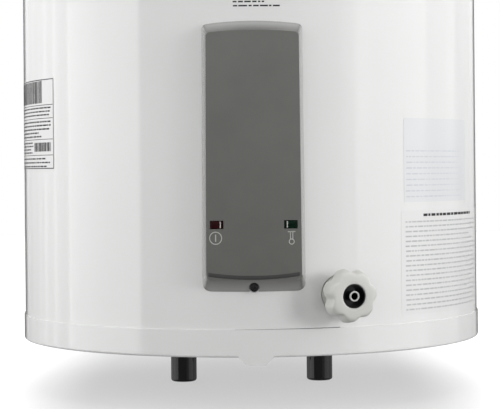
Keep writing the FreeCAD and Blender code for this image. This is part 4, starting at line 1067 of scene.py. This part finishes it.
def add_rows(bm, left, right, top, bottom, count, thickness):
    """Rows of dashes of uneven length, ragged at their right end."""
    left, right, top, bottom = (side * MM for side in (left, right, top, bottom))
    pitch = (top - bottom) / count
    half = thickness * MM / 2
    for row in range(count):
        middle = top - (row + 0.5) * pitch
        at = left + chance.uniform(0, 1.0) * MM
        end = right - chance.choice(ragged_ends) * MM * chance.random()
        while at < end - shortest_dash:
            length = min(chance.uniform(*dash_lengths) * MM, end - at)
            add_bar(bm, at, at + length, middle - half, middle + half)
            at += length + chance.uniform(*dash_gaps) * MM


def marks_print(name, bm, azimuth, level, ink, film=film_thickness):
    """Marks printed on a film, or on the bare enamel where there is none."""
    printed(name, bm, jacket_radius + film, azimuth, level, "heater", finishes[ink])


print("label finishes", len(label_looks) + len(ink_looks))

# %% [markdown]
# The plate on the left wraps round to the edge of the view. It has a dark frame, four rules, a
# block of upright bars at its top, a smaller one low on the right, and short rows between the
# rules.

# %% Framed plate on the left
plate_width, plate_height = 116 * MM, 86 * MM
plate_azimuth, plate_level = -69.0, 210.7 * MM
plate_edge = 0.5 * MM
frame_stroke = 0.9 * MM
rule_end = plate_width / 2 - 2 * MM
rule_levels = (18.0, 5.4, -14.5, -29.5)
rule_half = 0.3
least_bar = 0.5 * MM
bar_widths = (0.8, 1.2, 1.8, 2.4)
bar_gaps = (0.5, 0.7, 1.0)
bar_blocks = ((-54, 33, 20, 41), (12, 52, -26, -17.5))
plate_rows = (
    (-54, 52, 17, 7, 3, 1.4), (-54, 52, 4, -13.5, 5, 1.5),
    (-54, 8, -16, -28.5, 4, 1.4), (-54, 50, -31, -42, 3, 1.4),
)


def add_frame(bm, x, y, stroke):
    """Four bars round a rectangle of half width x and half height y."""
    add_bar(bm, -x, x, y - stroke, y)
    add_bar(bm, -x, x, -y, -y + stroke)
    add_bar(bm, -x, -x + stroke, -y + stroke, y - stroke)
    add_bar(bm, x - stroke, x, -y + stroke, y - stroke)


def upright_bars(bm, left, right, low, high):
    """Block of upright bars of uneven width, given in millimetres."""
    at, right = left * MM, right * MM
    while at < right - least_bar:
        width = chance.choice(bar_widths) * MM
        add_bar(bm, at, min(at + width, right), low * MM, high * MM)
        at += width + chance.choice(bar_gaps) * MM


label_film("plate_film", plate_width, plate_height, plate_azimuth, plate_level, "label_white")
plate_marks = bmesh.new()
add_frame(plate_marks, plate_width / 2 - plate_edge, plate_height / 2 - plate_edge, frame_stroke)
for rule in rule_levels:
    add_bar(plate_marks, -rule_end, rule_end, (rule - rule_half) * MM, (rule + rule_half) * MM)
for block in bar_blocks:
    upright_bars(plate_marks, *block)
for rows in plate_rows:
    add_rows(plate_marks, *rows)
print("plate faces", len(plate_marks.faces))
marks_print("plate_marks", plate_marks, plate_azimuth, plate_level, "ink_black")

# %% [markdown]
# On the right, the upper film is so faint that it only shows as a cooler patch with pale rows. The
# lower sheet has one dark heading and some twenty rows of fine grey dashes. Two short dark rows
# above the cover are printed on the enamel itself.

# %% Labels on the right and rows above the cover
faint_width, faint_height = 108 * MM, 77 * MM
faint_azimuth, faint_level = 50.9, 173.2 * MM
sheet_width, sheet_height = 154 * MM, 95 * MM
sheet_azimuth, sheet_level = 55.7, 79.5 * MM
top_azimuth, top_level = 0.96, 312 * MM


def rows_print(name, rows, *place):
    """One set of rows, printed at a place."""
    bm = bmesh.new()
    add_rows(bm, *rows)
    marks_print(name, bm, *place)


label_film("faint_film", faint_width, faint_height, faint_azimuth, faint_level, "label_faint")
rows_print("faint_marks", (-52, 50, 11, -36, 9, 1.2), faint_azimuth, faint_level, "ink_pale")
label_film("sheet_film", sheet_width, sheet_height, sheet_azimuth, sheet_level, "label_white")
rows_print("sheet_marks", (-72, 73, 39.5, -45, 19, 1.3), sheet_azimuth, sheet_level, "ink_grey")
rows_print("sheet_heading", (-48, 50, 45.4, 41, 1, 2.4), sheet_azimuth, sheet_level, "ink_black")
rows_print("top_marks", (-21, 21, 3.6, -3.6, 2, 1.3), top_azimuth, top_level, "ink_black", 0)
print("labels made")

# %% [markdown]
# Below the pan two sockets wait for the water pipes. Each is a turned sleeve with a generous radius
# at its lower edge and a thread inside. The thread is drawn as rings of the right pitch, because
# nobody can see that they don't climb.

# %% Pipe sockets
socket_half_spacing = 69 * MM
socket_steps = 72
socket_radius = 13 * MM
socket_bottom = -48.2 * MM
socket_top = 0.2 * MM
socket_round = 2.6 * MM
socket_chamfer = 0.4 * MM
thread_radius = 10.3 * MM
thread_top = socket_bottom + 15 * MM
thread_pitch = 1.814 * MM
thread_turns = 7
thread_lead = 0.2
thread_groove = 0.6 * MM
nipple_seat = -18.8 * MM
seat_radius = 10.45 * MM
bore_radius = 7.5 * MM
mouth_depth = 1.0 * MM
mouth_flare = 0.1 * MM


def quarter_round(radius, level, size, steps=6):
    """Points of a quarter round between the underside and the outside of a turned part."""
    points = []
    for step in range(steps + 1):
        turn = radians(90) * step / steps
        points.append((radius - size + size * sin(turn), level + size - size * cos(turn)))
    return points


def pipe_socket(name, node_name, across):
    """Threaded sleeve at one side of the tank axis."""
    profile = quarter_round(socket_radius, socket_bottom, socket_round)
    profile += [
        (socket_radius, socket_top - socket_chamfer), (socket_radius - socket_chamfer, socket_top),
        (seat_radius, socket_top), (seat_radius, nipple_seat), (bore_radius, nipple_seat),
        (bore_radius, thread_top),
    ]
    for turn in range(thread_turns):
        level = thread_top - (turn + thread_lead) * thread_pitch
        profile.append((thread_radius, level))
        profile.append((thread_radius + thread_groove, level - thread_pitch / 2))
    profile.append((thread_radius, socket_bottom + mouth_depth))
    profile.append((thread_radius + mouth_flare, socket_bottom))
    bm = spun(profile, socket_steps)
    place = Matrix.Translation((across, axis_y, rim_z))
    bmesh.ops.transform(bm, matrix=place, verts=bm.verts)
    piece = finish_piece(name, bm, "heater", finishes["black_plastic"], sharp=40)
    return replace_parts(piece, node_name)


for socket in (
    pipe_socket("hot_socket", "hot_outlet_socket", -socket_half_spacing),
    pipe_socket("cold_socket", "cold_inlet_socket", socket_half_spacing),
):
    print(socket.name, "faces", len(socket.data.polygons))
